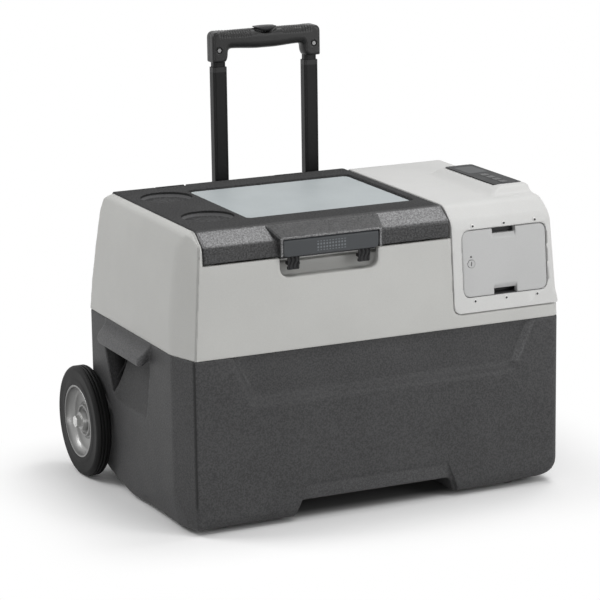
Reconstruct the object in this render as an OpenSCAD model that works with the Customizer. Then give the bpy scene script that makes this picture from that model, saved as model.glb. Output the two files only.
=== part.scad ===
// Wheeled compressor cooler box with a hinged lid, a telescopic trolley handle,
// two wheels at the back and a compressor module with a pull-out battery at the right end.
// Millimetres. +X is right, -Y is the front, +Z is up, and the floor is at zero.

/* [Body] */
// Width of the body at the split line
body_w = 640; // [620:1:670]
// Depth of the body at the split line
body_d = 396; // [388:1:410]
// Height of the dark lower shell
split_h = 268; // [264:1:274]
// Height of the lid top above the shell bottom
top_h = 457; // [453:1:464]
// Height of the lid from its seam to its top
lid_h = 46; // [44:0.5:49]
// Wall of the mouldings
wall = 3; // [2.5:0.1:3.5]
// Inward lean of the upper shell between split line and lid seam
lean = 12; // [10:0.5:13]
// Front left corner chamfer, measured along the width
corner_w = 17; // [12:1:24]
// Front left corner chamfer, measured along the depth
corner_d = 57; // [40:1:70]
// Rounding of the other upright edges
edge_r = 9; // [6:0.5:12]
// Rounding of the bottom edge at the left end
base_r_left = 6; // [5:0.5:10]
// Rounding of the bottom edge at the right end
base_r_right = 40; // [25:1:45]
// Rounding of the bottom edge at the front
base_r_front = 14; // [8:1:18]
// Gap between the lid and what it closes against
seam_gap = 2; // [1.5:0.1:2.5]

/* [Front of the lower shell] */
// Width of the sunken front field at the split line
field_w = 494; // [460:1:520]
// Height of the sunken front field
field_h = 68; // [50:1:90]
// How much each side of the field runs in towards its bottom
field_taper = 27; // [10:1:40]
// Depth of the sunken field
field_deep = 8; // [4:0.5:9]
// Width of the sloped step round the field
field_step = 12; // [6:1:16]
// Width of the arch between the feet at its top
arch_w = 240; // [200:1:260]
// Height of the arch in the front face
arch_h = 54; // [45:1:62]
// How much each side of the arch flares out towards the floor
arch_flare = 23; // [12:1:28]
// Height of the shell's underside between the feet
arch_ceiling = 26; // [20:1:32]
// Depth by which the face over the arch sits back
arch_inset = 10; // [6:1:11]

/* [Side grab handles] */
// Middle of each grab handle from the middle of the body, towards the back
grab_y = 30; // [20:1:36]
// Width of the hand pocket at its top
grab_top_w = 167; // [140:1:172]
// Width of the hand pocket at its bottom
grab_bottom_w = 131; // [110:1:139]
// Height of the bottom of the hand pocket
grab_z = 140; // [130:1:160]
// Depth of the hand pocket
grab_deep = 30; // [22:1:32]
// How far the grab bar stands out
bar_out = 20; // [14:1:24]
// Height of the grab bar
bar_h = 30; // [24:1:34]

/* [Lid] */
// Width of the fixed end cap left of the lid
end_cap_w = 39; // [34:1:46]
// Width of the compressor module right of the lid
module_w = 189; // [184:1:196]
// Depth of the bevel along the lid's front edge
bevel_d = 29; // [20:1:34]
// Height of that bevel
bevel_h = 20; // [16:1:22]
// Width of the lift-out board in the lid
board_w = 279; // [240:1:284]
// Depth of the lift-out board
board_d = 234; // [200:1:245]
// Thickness of the lift-out board
board_t = 6; // [4:0.5:7]
// Middle of the board from the lid's right edge
board_x = 161.5; // [158:0.5:170]
// Middle of the board from the middle of the body
board_y = 16; // [8:1:22]
// Radius of each cup holder
cup_r = 44; // [38:0.5:45]
// Depth of each cup holder
cup_deep = 18; // [10:1:20]
// Middle of the cup holders from the lid's left edge
cup_x = 61; // [56:1:62]
// Middle between the two cup holders, from the middle of the body
cup_y = 22; // [10:1:30]
// Distance between the two cup holders
cup_pitch = 165; // [120:1:180]
// Height of the lid hinge axis below the lid top
hinge_drop = 5.5; // [5.5:0.1:7]
// Distance between the two hinges
hinge_pitch = 210; // [190:1:230]
// Radius of the hinge pins
hinge_pin_r = 2.5; // [2:0.1:3]

/* [Lid latch] */
// Width of the latch bar
latch_w = 160; // [140:1:170]
// Height of the latch bar
latch_h = 27; // [24:0.5:29]
// Thickness of the latch bar
latch_t = 7; // [6:0.5:8]
// Distance between the two hooks
hook_pitch = 118; // [100:1:124]
// Width of each hook
hook_w = 19.5; // [14:0.5:22]
// Length of the hooks below the bar
hook_h = 20; // [18:0.5:22]
// Depth of the recess behind the hooks
latch_recess = 10; // [8:0.5:12]

/* [Tub] */
// Distance between the tub and the lid's edges left and right
tub_side = 29; // [26:1:34]
// Depth of the tub opening
tub_d = 304; // [280:1:308]
// Height of the tub's floor
tub_floor = 65; // [60:1:80]
// Wall of the tub
tub_wall = 2; // [1.5:0.1:2.5]

/* [Compressor module] */
// Height of the cover's lower edge above the split line
cover_rise = 21; // [18:1:24]
// How far the cover stands proud of the upper shell
cover_proud = 2; // [1:0.1:2.5]
// Width of the battery door
door_w = 148; // [138:1:149]
// Distance from the cover's lower edge to the battery door
door_rise = 25; // [24:0.5:30]
// Rounding of the door's corners
door_r = 8; // [4:0.5:12]
// Middle of the door from the right side of the body
door_x = 95; // [94:0.5:96]
// Distance from the door's top edge to the lid top
door_drop = 39; // [38:0.5:41]
// Depth of the battery
battery_d = 105; // [80:1:110]
// How far the control hump stands up over the lid top
hump_h = 12; // [9:0.5:14]
// Width of the control panel
panel_w = 50; // [46:0.5:51]
// Length of the control panel
panel_l = 167; // [160:1:170]
// Middle of the control panel from the middle of the body
panel_y = -26; // [-30:1:-22]

/* [Wheels and feet] */
// Radius of the wheels
wheel_r = 90; // [86:0.5:92]
// Width of the tyres
tyre_w = 26; // [20:0.5:32]
// Radius of the rims
rim_r = 59; // [52:0.5:66]
// Gap between a tyre and the body's end
wheel_gap = 2.5; // [2:0.1:5]
// Distance of the axle from the middle of the body
axle_y = 194; // [192:0.5:196]
// Radius of the axle
axle_r = 6; // [5:0.25:7]
// Height of the rubber feet
foot_h = 6; // [4:0.5:8]
// Radius of the rubber feet
foot_r = 15; // [10:0.5:18]

/* [Trolley handle] */
// Distance between the two tubes
tube_pitch = 162; // [154:1:170]
// Width of the middle tubes
tube_w = 24.5; // [22:0.5:26]
// Depth of the middle tubes
tube_d = 18; // [16:0.5:20]
// Sheet of the tubes
tube_wall = 1.5; // [1.2:0.1:1.7]
// Sliding clearance between one tube and the next
tube_fit = 0.25; // [0.2:0.05:0.4]
// Gap between the body's back and the outer tubes
tube_gap = 2.5; // [2:0.5:5]
// Height at which the middle tubes end, as extended
stage_h = 639; // [620:1:650]
// Length of tube that stays inside when extended
stage_overlap = 60; // [50:1:65]
// Bare length of the inner tubes under the grip
neck_h = 11; // [6:1:14]
// Height of the grip
grip_h = 49; // [44:1:54]
// Depth of the grip
grip_d = 28; // [26:0.5:30]
// How far the grip reaches out past the middle of each tube
grip_out = 16; // [15:0.5:20]
// Width of the release button
button_w = 36; // [28:1:44]
// Travel of the release button
button_travel = 4; // [2:0.5:5]

/* [Fits] */
// Running clearance of shafts and pins, on the radius
run_fit = 0.05; // [0.02:0.01:0.1]
// Clearance between a moving piece and its neighbour
free_gap = 0.5; // [0.3:0.05:0.7]

/* [Hidden] */
$fn = 48;

light_grey = [0.76, 0.76, 0.74];
charcoal = [0.25, 0.25, 0.26];
black = [0.08, 0.08, 0.09];
silver = [0.72, 0.73, 0.75];
blue_grey = [0.34, 0.37, 0.39];
copper = [0.72, 0.45, 0.2];
foam_cream = [0.93, 0.87, 0.62];

eps = 1;
hw = body_w / 2;
hd = body_d / 2;

// Heights and edges that several pieces share
seam_h = top_h - lid_h;
bevel_z = top_h - bevel_h;
cover_z = split_h + cover_rise;
lid_x0 = -hw + end_cap_w;
lid_x1 = hw - module_w;
cover_x = lid_x1 + seam_gap;
lid_y0 = -hd + lean;
lid_y1 = hd - lean + 1;
deck_drop = 11;
deck_z = seam_h - deck_drop;

// The upper shell's lean, taken at a height
function lean_at(z) = lean * (z - split_h) / (seam_h - split_h);

// Points on an arc, and the outline of a rectangle with round corners
function arc(x, y, r, from, to, steps = 6) =
  [for (i = [0:steps]) [x + r * cos(from + (to - from) * i / steps),
                        y + r * sin(from + (to - from) * i / steps)]];
function round_rect(x0, y0, x1, y1, r) = concat(
  arc(x1 - r, y0 + r, r, -90, 0), arc(x1 - r, y1 - r, r, 0, 90),
  arc(x0 + r, y1 - r, r, 90, 180), arc(x0 + r, y0 + r, r, 180, 270));

// Solids between two corners, along an axis, or round an axis
module span(a, b) translate(a) cube(b - a);
module along_z(points, z0, z1) translate([0, 0, z0]) linear_extrude(z1 - z0) polygon(points);
module along_y(points, y0, y1)
  translate([0, y1, 0]) rotate([90, 0, 0]) linear_extrude(y1 - y0) polygon(points);
module along_x(points, x0, x1)
  translate([x0, 0, 0]) rotate([90, 0, 90]) linear_extrude(x1 - x0) polygon(points);
module rod_x(x0, x1, y, z, r) translate([x0, y, z]) rotate([0, 90, 0]) cylinder(h = x1 - x0, r = r);
module rod_y(x, y0, y1, z, r) translate([x, y1, z]) rotate([90, 0, 0]) cylinder(h = y1 - y0, r = r);
module rod_z(x, y, z0, z1, r) translate([x, y, z0]) cylinder(h = z1 - z0, r = r);
module both_ends() {
  children();
  mirror([1, 0, 0]) children();
}

// The body stands on its feet, with the middle of the whole object over the origin
wheel_z = wheel_r - foot_h;
body_front = min(-hd, -hd + lean_at(cover_z) - cover_proud);
body_y = -(axle_y + wheel_r + body_front) / 2;
module at_body() translate([0, body_y, foot_h]) children();

// Lower shell

corner_turn = atan(corner_w / corner_d);
function plan(i) = concat(
  [[-hw + i, -hd + corner_d + i * tan(corner_turn / 2)],
   [-hw + corner_w + i * tan((90 - corner_turn) / 2), -hd + i]],
  arc(hw - edge_r, -hd + edge_r, edge_r - i, -90, 0),
  arc(hw - edge_r, hd - edge_r, edge_r - i, 0, 90),
  arc(-hw + edge_r, hd - edge_r, edge_r - i, 90, 180));

ramp_y = 33;
ramp_h = 25;
function base_front(i, top) = concat(
  arc(-hw + base_r_left, base_r_left, base_r_left - i, 180, 270),
  arc(hw - base_r_right, base_r_right, base_r_right - i, 270, 360),
  [[hw - i, top], [-hw + i, top]]);
function base_side(i, top) = concat(
  arc(-hd + base_r_front, base_r_front, base_r_front - i, 180, 270),
  [[ramp_y, i], [hd - i, ramp_h + i], [hd - i, top], [-hd + i, top]]);
module base_solid(i, top) intersection() {
  along_z(plan(i), 0, top);
  along_y(base_front(i, top), -hd, hd);
  along_x(base_side(i, top), -hw, hw);
}

function field(step, g) = [
  [-field_w / 2 - step - g, split_h + eps], [field_w / 2 + step + g, split_h + eps],
  [field_w / 2 - field_taper + step + g, split_h - field_h - step - g],
  [-field_w / 2 + field_taper - step - g, split_h - field_h - step - g]];
module front_field(g) hull() {
  along_y(field(field_step, g), -hd - eps, -hd + g);
  along_y(field(0, g), -hd - eps, -hd + field_deep + g);
}

function arch_half(z) = arch_w / 2 + arch_flare * (1 - z / arch_h);
tunnel_in = 4;
function arch(top, side, g) = [
  [-arch_half(-eps) - side, -eps], [arch_half(-eps) + side, -eps],
  [arch_half(top) + side, top + g], [-arch_half(top) - side, top + g]];
module foot_arch(g) {
  along_y(arch(arch_ceiling, g - tunnel_in, g), -hd - eps, hd + eps);
  along_y(arch(arch_h, g, g), -hd - eps, -hd + arch_inset + g);
}

bar_lap = 8;
grab_top = split_h - bar_h + bar_lap;
grab_slope = 23;
module hand_pocket(g) both_ends() intersection() {
  along_x([
    [grab_y - grab_bottom_w / 2 - g, grab_z - g], [grab_y + grab_bottom_w / 2 + g, grab_z - g],
    [grab_y + grab_top_w / 2 + g, grab_top - grab_slope], [grab_y + grab_top_w / 2 + g, grab_top + g],
    [grab_y - grab_top_w / 2 - g, grab_top + g], [grab_y - grab_top_w / 2 - g, grab_top - grab_slope]
  ], -hw - eps, 0);
  along_y([
    [-hw - eps, grab_z - g], [-hw + g, grab_z - g], [-hw + grab_deep + g, grab_top - grab_slope],
    [-hw + grab_deep + g, grab_top + g], [-hw - eps, grab_top + g]
  ], -hd, hd);
}

bar_top = split_h - 3;
bar_lip = 5;
module grab_bar() both_ends() intersection() {
  along_y([
    [-hw + eps, bar_top], [-hw, bar_top], [-hw - bar_out, bar_top - bar_h + bar_lip],
    [-hw - bar_out, bar_top - bar_h], [-hw - bar_out + bar_lip, bar_top - bar_h],
    [-hw, bar_top - bar_h + 3 * bar_lip], [-hw + eps, bar_top - bar_h + 3 * bar_lip]
  ], -hd, hd);
  along_x([
    [grab_y - grab_top_w / 2, bar_top - bar_h], [grab_y + grab_top_w / 2, bar_top - bar_h],
    [grab_y + grab_top_w / 2 + bar_lip * 3, bar_top], [grab_y - grab_top_w / 2 - bar_lip * 3, bar_top]
  ], -hw - bar_out - eps, 0);
}

flank_lead = 4;
flank_y = axle_y - wheel_r - flank_lead;
flank_in = 10;
flank_over = 62;
flank_low = wheel_z + flank_over;
flank_rise = 60;
flank_high = flank_low + flank_rise;
module wheel_flank(g) both_ends() intersection() {
  along_z([
    [-hw - eps, flank_y - g], [-hw + g, flank_y], [-hw + flank_in + g, hd + eps], [-hw - eps, hd + eps]
  ], -eps, flank_high + g);
  along_x([
    [flank_y - g, -eps], [hd + eps, -eps], [hd + eps, flank_high + g], [hd - flank_in, flank_high + g],
    [flank_y - g, flank_low + g]
  ], -hw - eps, 0);
}

axle_room = 2;
channel_r = axle_r + axle_room;
module axle_channel(g)
  span([-hw - eps, axle_y - channel_r - g, wheel_z - channel_r - g],
       [hw + eps, hd + eps, wheel_z + channel_r + g]);

vent_w = 124;
vent_h = 124;
vent_side = 96;
vent_x = hw - vent_side;
vent_z = 178;
module vent_opening(inset, y0, y1)
  along_y(round_rect(vent_x - vent_w / 2 + inset, vent_z - vent_h / 2 + inset,
                     vent_x + vent_w / 2 - inset, vent_z + vent_h / 2 - inset, door_r), y0, y1);

inlet_y = -120;
inlet_z = 205;
inlet_r = 10;

module lower_shell() color(charcoal) at_body() {
  difference() {
    base_solid(0, split_h);
    difference() {
      base_solid(wall, split_h + eps);
      front_field(wall);
      hand_pocket(wall);
      foot_arch(wall);
      wheel_flank(wall);
      axle_channel(wall);
    }
    front_field(0);
    hand_pocket(0);
    foot_arch(0);
    wheel_flank(0);
    axle_channel(0);
    vent_opening(0, hd - 2 * wall, hd + eps);
    rod_x(hw - 2 * wall, hw + eps, inlet_y, inlet_z, inlet_r);
  }
  grab_bar();
}

foot_side = 75;
foot_in = 45;
foot_x = hw - foot_side;
foot_front = -hd + foot_in;
foot_back = ramp_y - foot_r - wall;
module rubber_feet() color(black) at_body()
  for (x = [-foot_x, foot_x], y = [foot_front, foot_back]) rod_z(x, y, -foot_h, 0, foot_r);

// Upper shell

shoulder = [[0, 0], [3, 0.25], [10, 0.59], [18.5, 0.87], [27, 0.963], [38, 1]];
right_side = [[0, 0.11], [1, 0.21], [9, 0.635], [14.5, 0.87], [15, 1]];
crown_h = top_h - split_h;
function crown_front(i) = concat(
  [for (p = right_side) [hw - p[0] - i, split_h + p[1] * crown_h - i]],
  [for (k = [len(shoulder) - 1:-1:0])
    [-hw + shoulder[k][0] + i, split_h + shoulder[k][1] * crown_h - (k == 0 ? 0 : i)]],
  [[-hw + i, split_h - eps], [hw - i, split_h - eps]]);
function crown_side(i) = [
  [-hd + i, split_h - eps], [-hd + i, split_h], [lid_y0 + i, seam_h], [lid_y0 + i, bevel_z - i / 2],
  [lid_y0 + bevel_d + i / 2, top_h - i], [lid_y1 - 1 - i, top_h - i], [lid_y1 - 1 - i, seam_h],
  [hd - i, split_h], [hd - i, split_h - eps]];
module crown_solid(i, z0, z1) intersection() {
  along_z(plan(i), z0, z1);
  along_y(crown_front(i), -hd, hd);
  along_x(crown_side(i), -hw, hw);
}

latch_x = (lid_x0 + lid_x1) / 2;
recess_w = latch_w + 4;
recess_h = hook_h + 12;
recess_r = 10;
recess_y = lid_y0 + latch_recess;
module latch_well(g)
  along_y(round_rect(latch_x - recess_w / 2 - g, seam_h - recess_h - g,
                     latch_x + recess_w / 2 + g, top_h + recess_r, recess_r), -hd - eps, recess_y + g);

tub_x0 = lid_x0 + tub_side;
tub_x1 = lid_x1 - tub_side;
tub_y = tub_d / 2;
tub_r = 18;
module tub_block(grow, z0, z1)
  along_z(round_rect(tub_x0 - grow, -tub_y - grow, tub_x1 + grow, tub_y + grow, tub_r + grow), z0, z1);

// Flat pads on the leaning back face, for the hinges and the tube bracket
pad_t = 4;
pad_h = 25;
pad_root = hd - lean - free_gap;
pad_y = hd - lean + pad_t;
pad_z0 = deck_z - pad_h;
pad_z1 = deck_z;
hinge_xs = [latch_x - hinge_pitch / 2, latch_x + hinge_pitch / 2];
hinge_leaf = 18;
tube_x = tube_pitch / 2;
outer_w = tube_w + 2 * (tube_fit + tube_wall);
outer_d = tube_d + 2 * (tube_fit + tube_wall);
bracket_wall = 5;
bracket_w = outer_w + 2 * bracket_wall;
module back_pads() {
  for (x = hinge_xs)
    span([x - hinge_leaf / 2, pad_root, pad_z0], [x + hinge_leaf / 2, pad_y, pad_z1]);
  for (x = [-tube_x, tube_x])
    span([x - bracket_w / 2, pad_root, pad_z0], [x + bracket_w / 2, pad_y, pad_z1]);
}

module upper_shell() color(light_grey) at_body() {
  difference() {
    crown_solid(0, split_h, top_h);
    span([lid_x0 - seam_gap, -hd - eps, seam_h - seam_gap], [hw + eps, hd + eps, top_h + eps]);
    span([cover_x, -hd - eps, cover_z], [hw + eps, hd + eps, top_h + eps]);
    difference() {
      crown_solid(wall, split_h - eps, deck_z - wall);
      latch_well(wall);
    }
    intersection() {
      crown_solid(wall, split_h - eps, top_h);
      span([cover_x, -hd, split_h - eps], [hw, hd, top_h]);
    }
    intersection() {
      difference() {
        crown_solid(wall, deck_z, top_h + eps);
        latch_well(wall);
      }
      span([lid_x0 - seam_gap, -hd, deck_z], [cover_x + eps, hd, top_h]);
    }
    intersection() {
      crown_solid(wall, deck_z, top_h);
      span([-hw, -hd, deck_z], [lid_x0 - seam_gap - wall, hd, top_h]);
    }
    tub_block(tub_wall, deck_z - wall - eps, deck_z + eps);
    latch_well(0);
  }
  back_pads();
}

// Tub, its foam and its evaporator

flange = 10;
tub_top = deck_z + tub_wall;
module inner_liner() color("white") at_body() difference() {
  union() {
    tub_block(tub_wall, tub_floor - tub_wall, tub_top);
    tub_block(flange, deck_z, tub_top);
  }
  tub_block(0, tub_floor, tub_top + eps);
}

evap_t = 1.5;
evap_low = 35;
evap_high = 70;
evap_z0 = tub_floor + evap_low;
evap_z1 = deck_z - evap_high;
module evaporator() color("gainsboro") at_body() difference() {
  tub_block(tub_wall + evap_t, evap_z0, evap_z1);
  tub_block(tub_wall, evap_z0 - eps, evap_z1 + eps);
}

bulkhead_t = 3;
bulkhead_in = 6;
bulkhead_x = lid_x1 - bulkhead_in;
inner_y = hd - max(field_deep, arch_inset) - 2 * wall;
cavity_z = arch_ceiling + wall;
suction_y = 70;
suction_drop = 20;
suction_z = evap_z1 - suction_drop;
suction_r = 4;
module bulkhead() color("lightgray") at_body() difference() {
  span([bulkhead_x, -inner_y, cavity_z], [bulkhead_x + bulkhead_t, inner_y, deck_z - wall]);
  rod_x(bulkhead_x - eps, bulkhead_x + bulkhead_t + eps, suction_y, suction_z, suction_r);
}

foam_x0 = -hw + grab_deep + 2 * wall;
foam_top = deck_z - wall;
module tub_foam() color(foam_cream) at_body() difference() {
  span([foam_x0, -inner_y, cavity_z], [bulkhead_x, inner_y, foam_top]);
  tub_block(tub_wall, tub_floor - tub_wall, foam_top + eps);
  tub_block(tub_wall + evap_t, evap_z0, evap_z1);
  rod_x(tub_x1, bulkhead_x + eps, suction_y, suction_z, suction_r);
  latch_well(2 * wall);
}

// Compressor cover

cover_bevel = 27;
function cover_y(z) = -hd + lean_at(z) - cover_proud;
function cover_side(i) = [
  [cover_y(split_h) + i, split_h], [cover_y(top_h - cover_bevel) + i, top_h - cover_bevel - i / 2],
  [lid_y0 + bevel_d + i / 2, top_h - i], [lid_y1 - 1 - i, top_h - i], [lid_y1 - 1 - i, seam_h],
  [hd - i, split_h]];
function cover_plan(i) = concat(
  arc(hw - edge_r, -hd - cover_proud + edge_r, edge_r - i, -90, 0),
  arc(hw - edge_r, hd - edge_r, edge_r - i, 0, 90),
  [[cover_x + i, hd - i], [cover_x + i, -hd - cover_proud + i]]);
module cover_solid(i, z0, z1) intersection() {
  along_z(cover_plan(i), z0, z1);
  along_y(crown_front(i), -hd - cover_proud, hd);
  along_x(cover_side(i), -hw, hw);
}

panel_side = 44;
panel_x = hw - panel_side;
hump_left = 23;
hump_right = 15;
hump_front = 26;
hump_back = 18;
hump_x0 = panel_x - panel_w / 2 - hump_left;
hump_x1 = hw - hump_right;
hump_y0 = panel_y - panel_l / 2 - hump_front;
hump_y1 = panel_y + panel_l / 2 + hump_back;
hump_z = top_h + hump_h;
module hump(i) intersection() {
  along_y([
    [hump_x0 + i, top_h - 2 * wall], [hump_x0 + i, top_h - i], [hump_x0 + hump_h + i, hump_z - i],
    [hump_x1 - i, hump_z - i], [hump_x1 - i, top_h - 2 * wall]], -hd, hd);
  along_x([
    [hump_y0 + i, top_h - 2 * wall], [hump_y0 + i, top_h - i], [hump_y0 + hump_h + i, hump_z - i],
    [hump_y1 - hump_h - i, hump_z - i], [hump_y1 - i, top_h - i], [hump_y1 - i, top_h - 2 * wall]],
    cover_x, hw);
}

door_cx = hw - door_x;
door_x0 = door_cx - door_w / 2;
door_x1 = door_cx + door_w / 2;
door_z1 = top_h - door_drop;
door_z0 = cover_z + door_rise;
door_h = door_z1 - door_z0;
door_gap = 1;
module door_outline(grow, y0, y1)
  along_y(round_rect(door_x0 - grow, door_z0 - grow,
                     door_x1 + grow, door_z1 + grow, door_r + grow), y0, y1);

panel_t = 2;
panel_ledge = 5;
panel_r = 4;
module panel_outline(inset, z0, z1)
  along_z(round_rect(panel_x - panel_w / 2 + inset, panel_y - panel_l / 2 + inset,
                     panel_x + panel_w / 2 - inset, panel_y + panel_l / 2 - inset, panel_r), z0, z1);

screw_r = 3.2;
screw_hole_r = 1.6;
screw_long = 9;
screw_head = 1;
head_gap = 0.4;
screw_in = 19;
screw_out = 6.5;
screw_xs = [door_x0 + screw_in, door_cx, door_x1 - screw_in];
screw_zs = [door_z0 - screw_out, door_z1 + screw_out];

module compressor_cover() color(light_grey) at_body() difference() {
  union() {
    cover_solid(0, cover_z, top_h);
    hump(0);
  }
  cover_solid(wall, cover_z - eps, top_h);
  hump(wall);
  door_outline(door_gap, door_front, 0);
  panel_outline(0, hump_z - panel_t, hump_z + eps);
  panel_outline(panel_ledge, top_h - wall - eps, hump_z);
  rod_x(cover_x - eps, cover_x + wall + eps, suction_y, suction_z, suction_r);
  for (x = screw_xs, z = screw_zs)
    rod_y(x, door_front, -hd + 10 * wall, z, screw_hole_r);
}

module cover_screws() color(silver) at_body() for (x = screw_xs, z = screw_zs) {
  rod_y(x, cover_y(z) - head_gap - screw_head / 2, cover_y(z) + screw_long, z, screw_hole_r - run_fit);
  rod_y(x, cover_y(z) - head_gap - screw_head, cover_y(z) - head_gap, z, screw_r);
}

// Battery that pulls out to the front

door_back = 0.6;
door_t = 3;
notch_w = 41;
notch_h = 16;
notch_deep = 20;
notch_r = 4;
door_front = -hd - 2 * cover_proud;
lock_in = 15;
lock_x = door_x0 + lock_in;
lock_z = door_z0 + door_h / 2;
lock_r = 6;
lock_long = 16;
case_fit = 0.5;
case_y1 = cover_y(door_z1) + battery_d;
module finger_notches() for (z = [door_z0 - notch_h, door_z1 - notch_h])
  along_y(round_rect(door_cx - notch_w / 2, z, door_cx + notch_w / 2, z + 2 * notch_h, notch_r),
          door_front, cover_y(door_z0) + notch_deep);

module battery_door() color(light_grey) at_body() difference() {
  intersection() {
    door_outline(0, door_front, 0);
    difference() {
      cover_solid(door_back, cover_z, top_h);
      cover_solid(door_back + door_t, cover_z - eps, top_h + eps);
    }
  }
  finger_notches();
  rod_y(lock_x, door_front, 0, lock_z, lock_r + run_fit);
}

case_wall = 2.5;
case_x0 = door_x0 + case_fit;
case_x1 = door_x1 - case_fit;
cells_y0 = cover_y(door_z1) + notch_deep + 2 * lock_r;
lock_room = 3;
module finger_room() for (z = [door_z0 - eps, door_z1 - notch_h])
  span([case_x0 - eps, door_front, z],
       [case_x1 + eps, cover_y(door_z0) + notch_deep, z + notch_h + eps]);
module battery_case() color(black) at_body() difference() {
  intersection() {
    door_outline(-case_fit, -hd, case_y1);
    cover_solid(door_back + door_t, cover_z, top_h);
  }
  span([case_x0 + case_wall, cells_y0, door_z0 + 2 * case_wall],
       [case_x1 - case_wall, case_y1 - case_wall, door_z1 - 2 * case_wall]);
  finger_room();
  rod_y(lock_x, -hd, cover_y(lock_z) + lock_long + lock_room, lock_z, lock_r + lock_room);
}

cell_r = 9.1;
cell_long = 65;
cell_rows = 3;
cell_gap = 0.2;
cell_spare = 12;
cell_pitch = 2 * (cell_r + cell_gap);
cell_layers = floor((door_h - 4 * case_wall - cell_spare) / cell_pitch);
module battery_cells() color("royalblue") at_body()
  for (i = [0:cell_rows - 1], j = [0:cell_layers - 1], side = [-1, 0])
    rod_x(door_cx + side * (cell_long + eps), door_cx + side * (cell_long + eps) + cell_long,
          case_y1 - case_wall - (i + 0.5) * cell_pitch,
          door_z0 + 2 * case_wall + (j + 0.5) * cell_pitch, cell_r);

lock_lift = 0.2;
lock_cam = 4;
key_slot = [0.8, 6, 3.5];
module battery_lock() color(silver) at_body() difference() {
  union() {
    rod_y(lock_x, cover_y(lock_z) + lock_lift, cover_y(lock_z) + lock_long, lock_z, lock_r);
    span([lock_x - lock_cam / 2, cover_y(lock_z) + lock_long - lock_cam, lock_z - lock_r - eps],
         [lock_x + lock_cam / 2, cover_y(lock_z) + lock_long, lock_z]);
  }
  span([lock_x - key_slot[0], door_front, lock_z - key_slot[2]],
       [lock_x + key_slot[0], cover_y(lock_z) + key_slot[1], lock_z + key_slot[2]]);
}

bay_wall = 2;
bay_y1 = case_y1 + 8;
module battery_bay() color("dimgray") at_body() difference() {
  intersection() {
    span([door_x0 - bay_wall, -hd, door_z0 - bay_wall],
         [door_x1 + bay_wall, bay_y1 + bay_wall, door_z1 + bay_wall]);
    cover_solid(wall, cover_z, top_h);
  }
  span([door_x0, -hd - eps, door_z0], [door_x1, bay_y1, door_z1]);
}

// Control panel

key_w = 13;
key_l = 15;
key_pitch = 20;
key_travel = 0.8;
key_fit = 0.3;
key_lip = 1.2;
display_w = 34;
display_l = 54;
key_r = 2;
key_up = 0.6;
display_up = 0.2;
display_in = 42;
keys_in = 18;
display_y = panel_y + panel_l / 2 - display_in;
first_key_y = panel_y - panel_l / 2 + keys_in;
board_drop = 7.5;
board_top = hump_z - board_drop;
panel_post_r = 2.5;
panel_post_in = 9;
function key_y(k) = first_key_y + k * key_pitch;
module key_shape(grow, z0, z1, k)
  along_z(round_rect(panel_x - key_w / 2 - grow, key_y(k) - key_l / 2 - grow,
                     panel_x + key_w / 2 + grow, key_y(k) + key_l / 2 + grow, key_r), z0, z1);
module display_shape(grow, z0, z1)
  along_z(round_rect(panel_x - display_w / 2 - grow, display_y - display_l / 2 - grow,
                     panel_x + display_w / 2 + grow, display_y + display_l / 2 + grow, key_r), z0, z1);

module panel_fascia() color(black) at_body() {
  difference() {
    panel_outline(0, hump_z - panel_t, hump_z);
    for (k = [0:3]) key_shape(key_fit, hump_z - 2 * panel_t, hump_z + eps, k);
    display_shape(0, hump_z - panel_t / 2, hump_z + eps);
  }
  for (x = [-1, 1], y = [-1, 1])
    rod_z(panel_x + x * (panel_w / 2 - panel_post_in), panel_y + y * (panel_l / 2 - panel_post_in),
          board_top, hump_z - panel_t, panel_post_r);
}
module display_window() color("darkslategray") at_body()
  display_shape(0, hump_z - panel_t / 2, hump_z + display_up);
module panel_key(k) color("slategray") at_body() {
  key_shape(0, board_top + 2 * key_travel, hump_z + key_up, k);
  key_shape(key_lip, board_top + 2 * key_travel, hump_z - panel_t - key_fit, k);
}
module power_button() panel_key(0);
module set_button() panel_key(1);
module down_button() panel_key(2);
module up_button() panel_key(3);

board_thick = 1.6;
module control_board() color("darkgreen") at_body()
  panel_outline(panel_ledge + 1, board_top - board_thick, board_top);

// Cooling unit in the compressor module

comp_side = 98;
comp_x = hw - comp_side;
comp_y = -60;
comp_r = 50;
comp_h = 128;
comp_foot = 45;
grommet_h = 15;
grommet_r = 9;
plate_t = 3;
bolt_r = 3;
comp_z = wall + grommet_h + plate_t;
comp_low_r = 6;
comp_high_r = 24;
module compressor() color(black) at_body() {
  difference() {
    span([comp_x - comp_foot - grommet_r, comp_y - comp_foot - grommet_r, comp_z - plate_t],
         [comp_x + comp_foot + grommet_r, comp_y + comp_foot + grommet_r, comp_z]);
    for (x = [-1, 1], y = [-1, 1])
      rod_z(comp_x + x * comp_foot, comp_y + y * comp_foot, comp_z - plate_t - eps, comp_z + eps, bolt_r);
  }
  translate([comp_x, comp_y, comp_z - plate_t / 2]) rotate_extrude() polygon(concat(
    [[0, 0]], arc(comp_r - comp_low_r, comp_low_r, comp_low_r, -90, 0),
    arc(comp_r - comp_high_r, comp_h - comp_high_r, comp_high_r, 0, 90), [[0, comp_h]]));
}
module compressor_grommets() color("black") at_body() for (x = [-1, 1], y = [-1, 1]) difference() {
  rod_z(comp_x + x * comp_foot, comp_y + y * comp_foot, wall, comp_z - plate_t, grommet_r);
  rod_z(comp_x + x * comp_foot, comp_y + y * comp_foot, wall - eps, comp_z, bolt_r);
}

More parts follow.
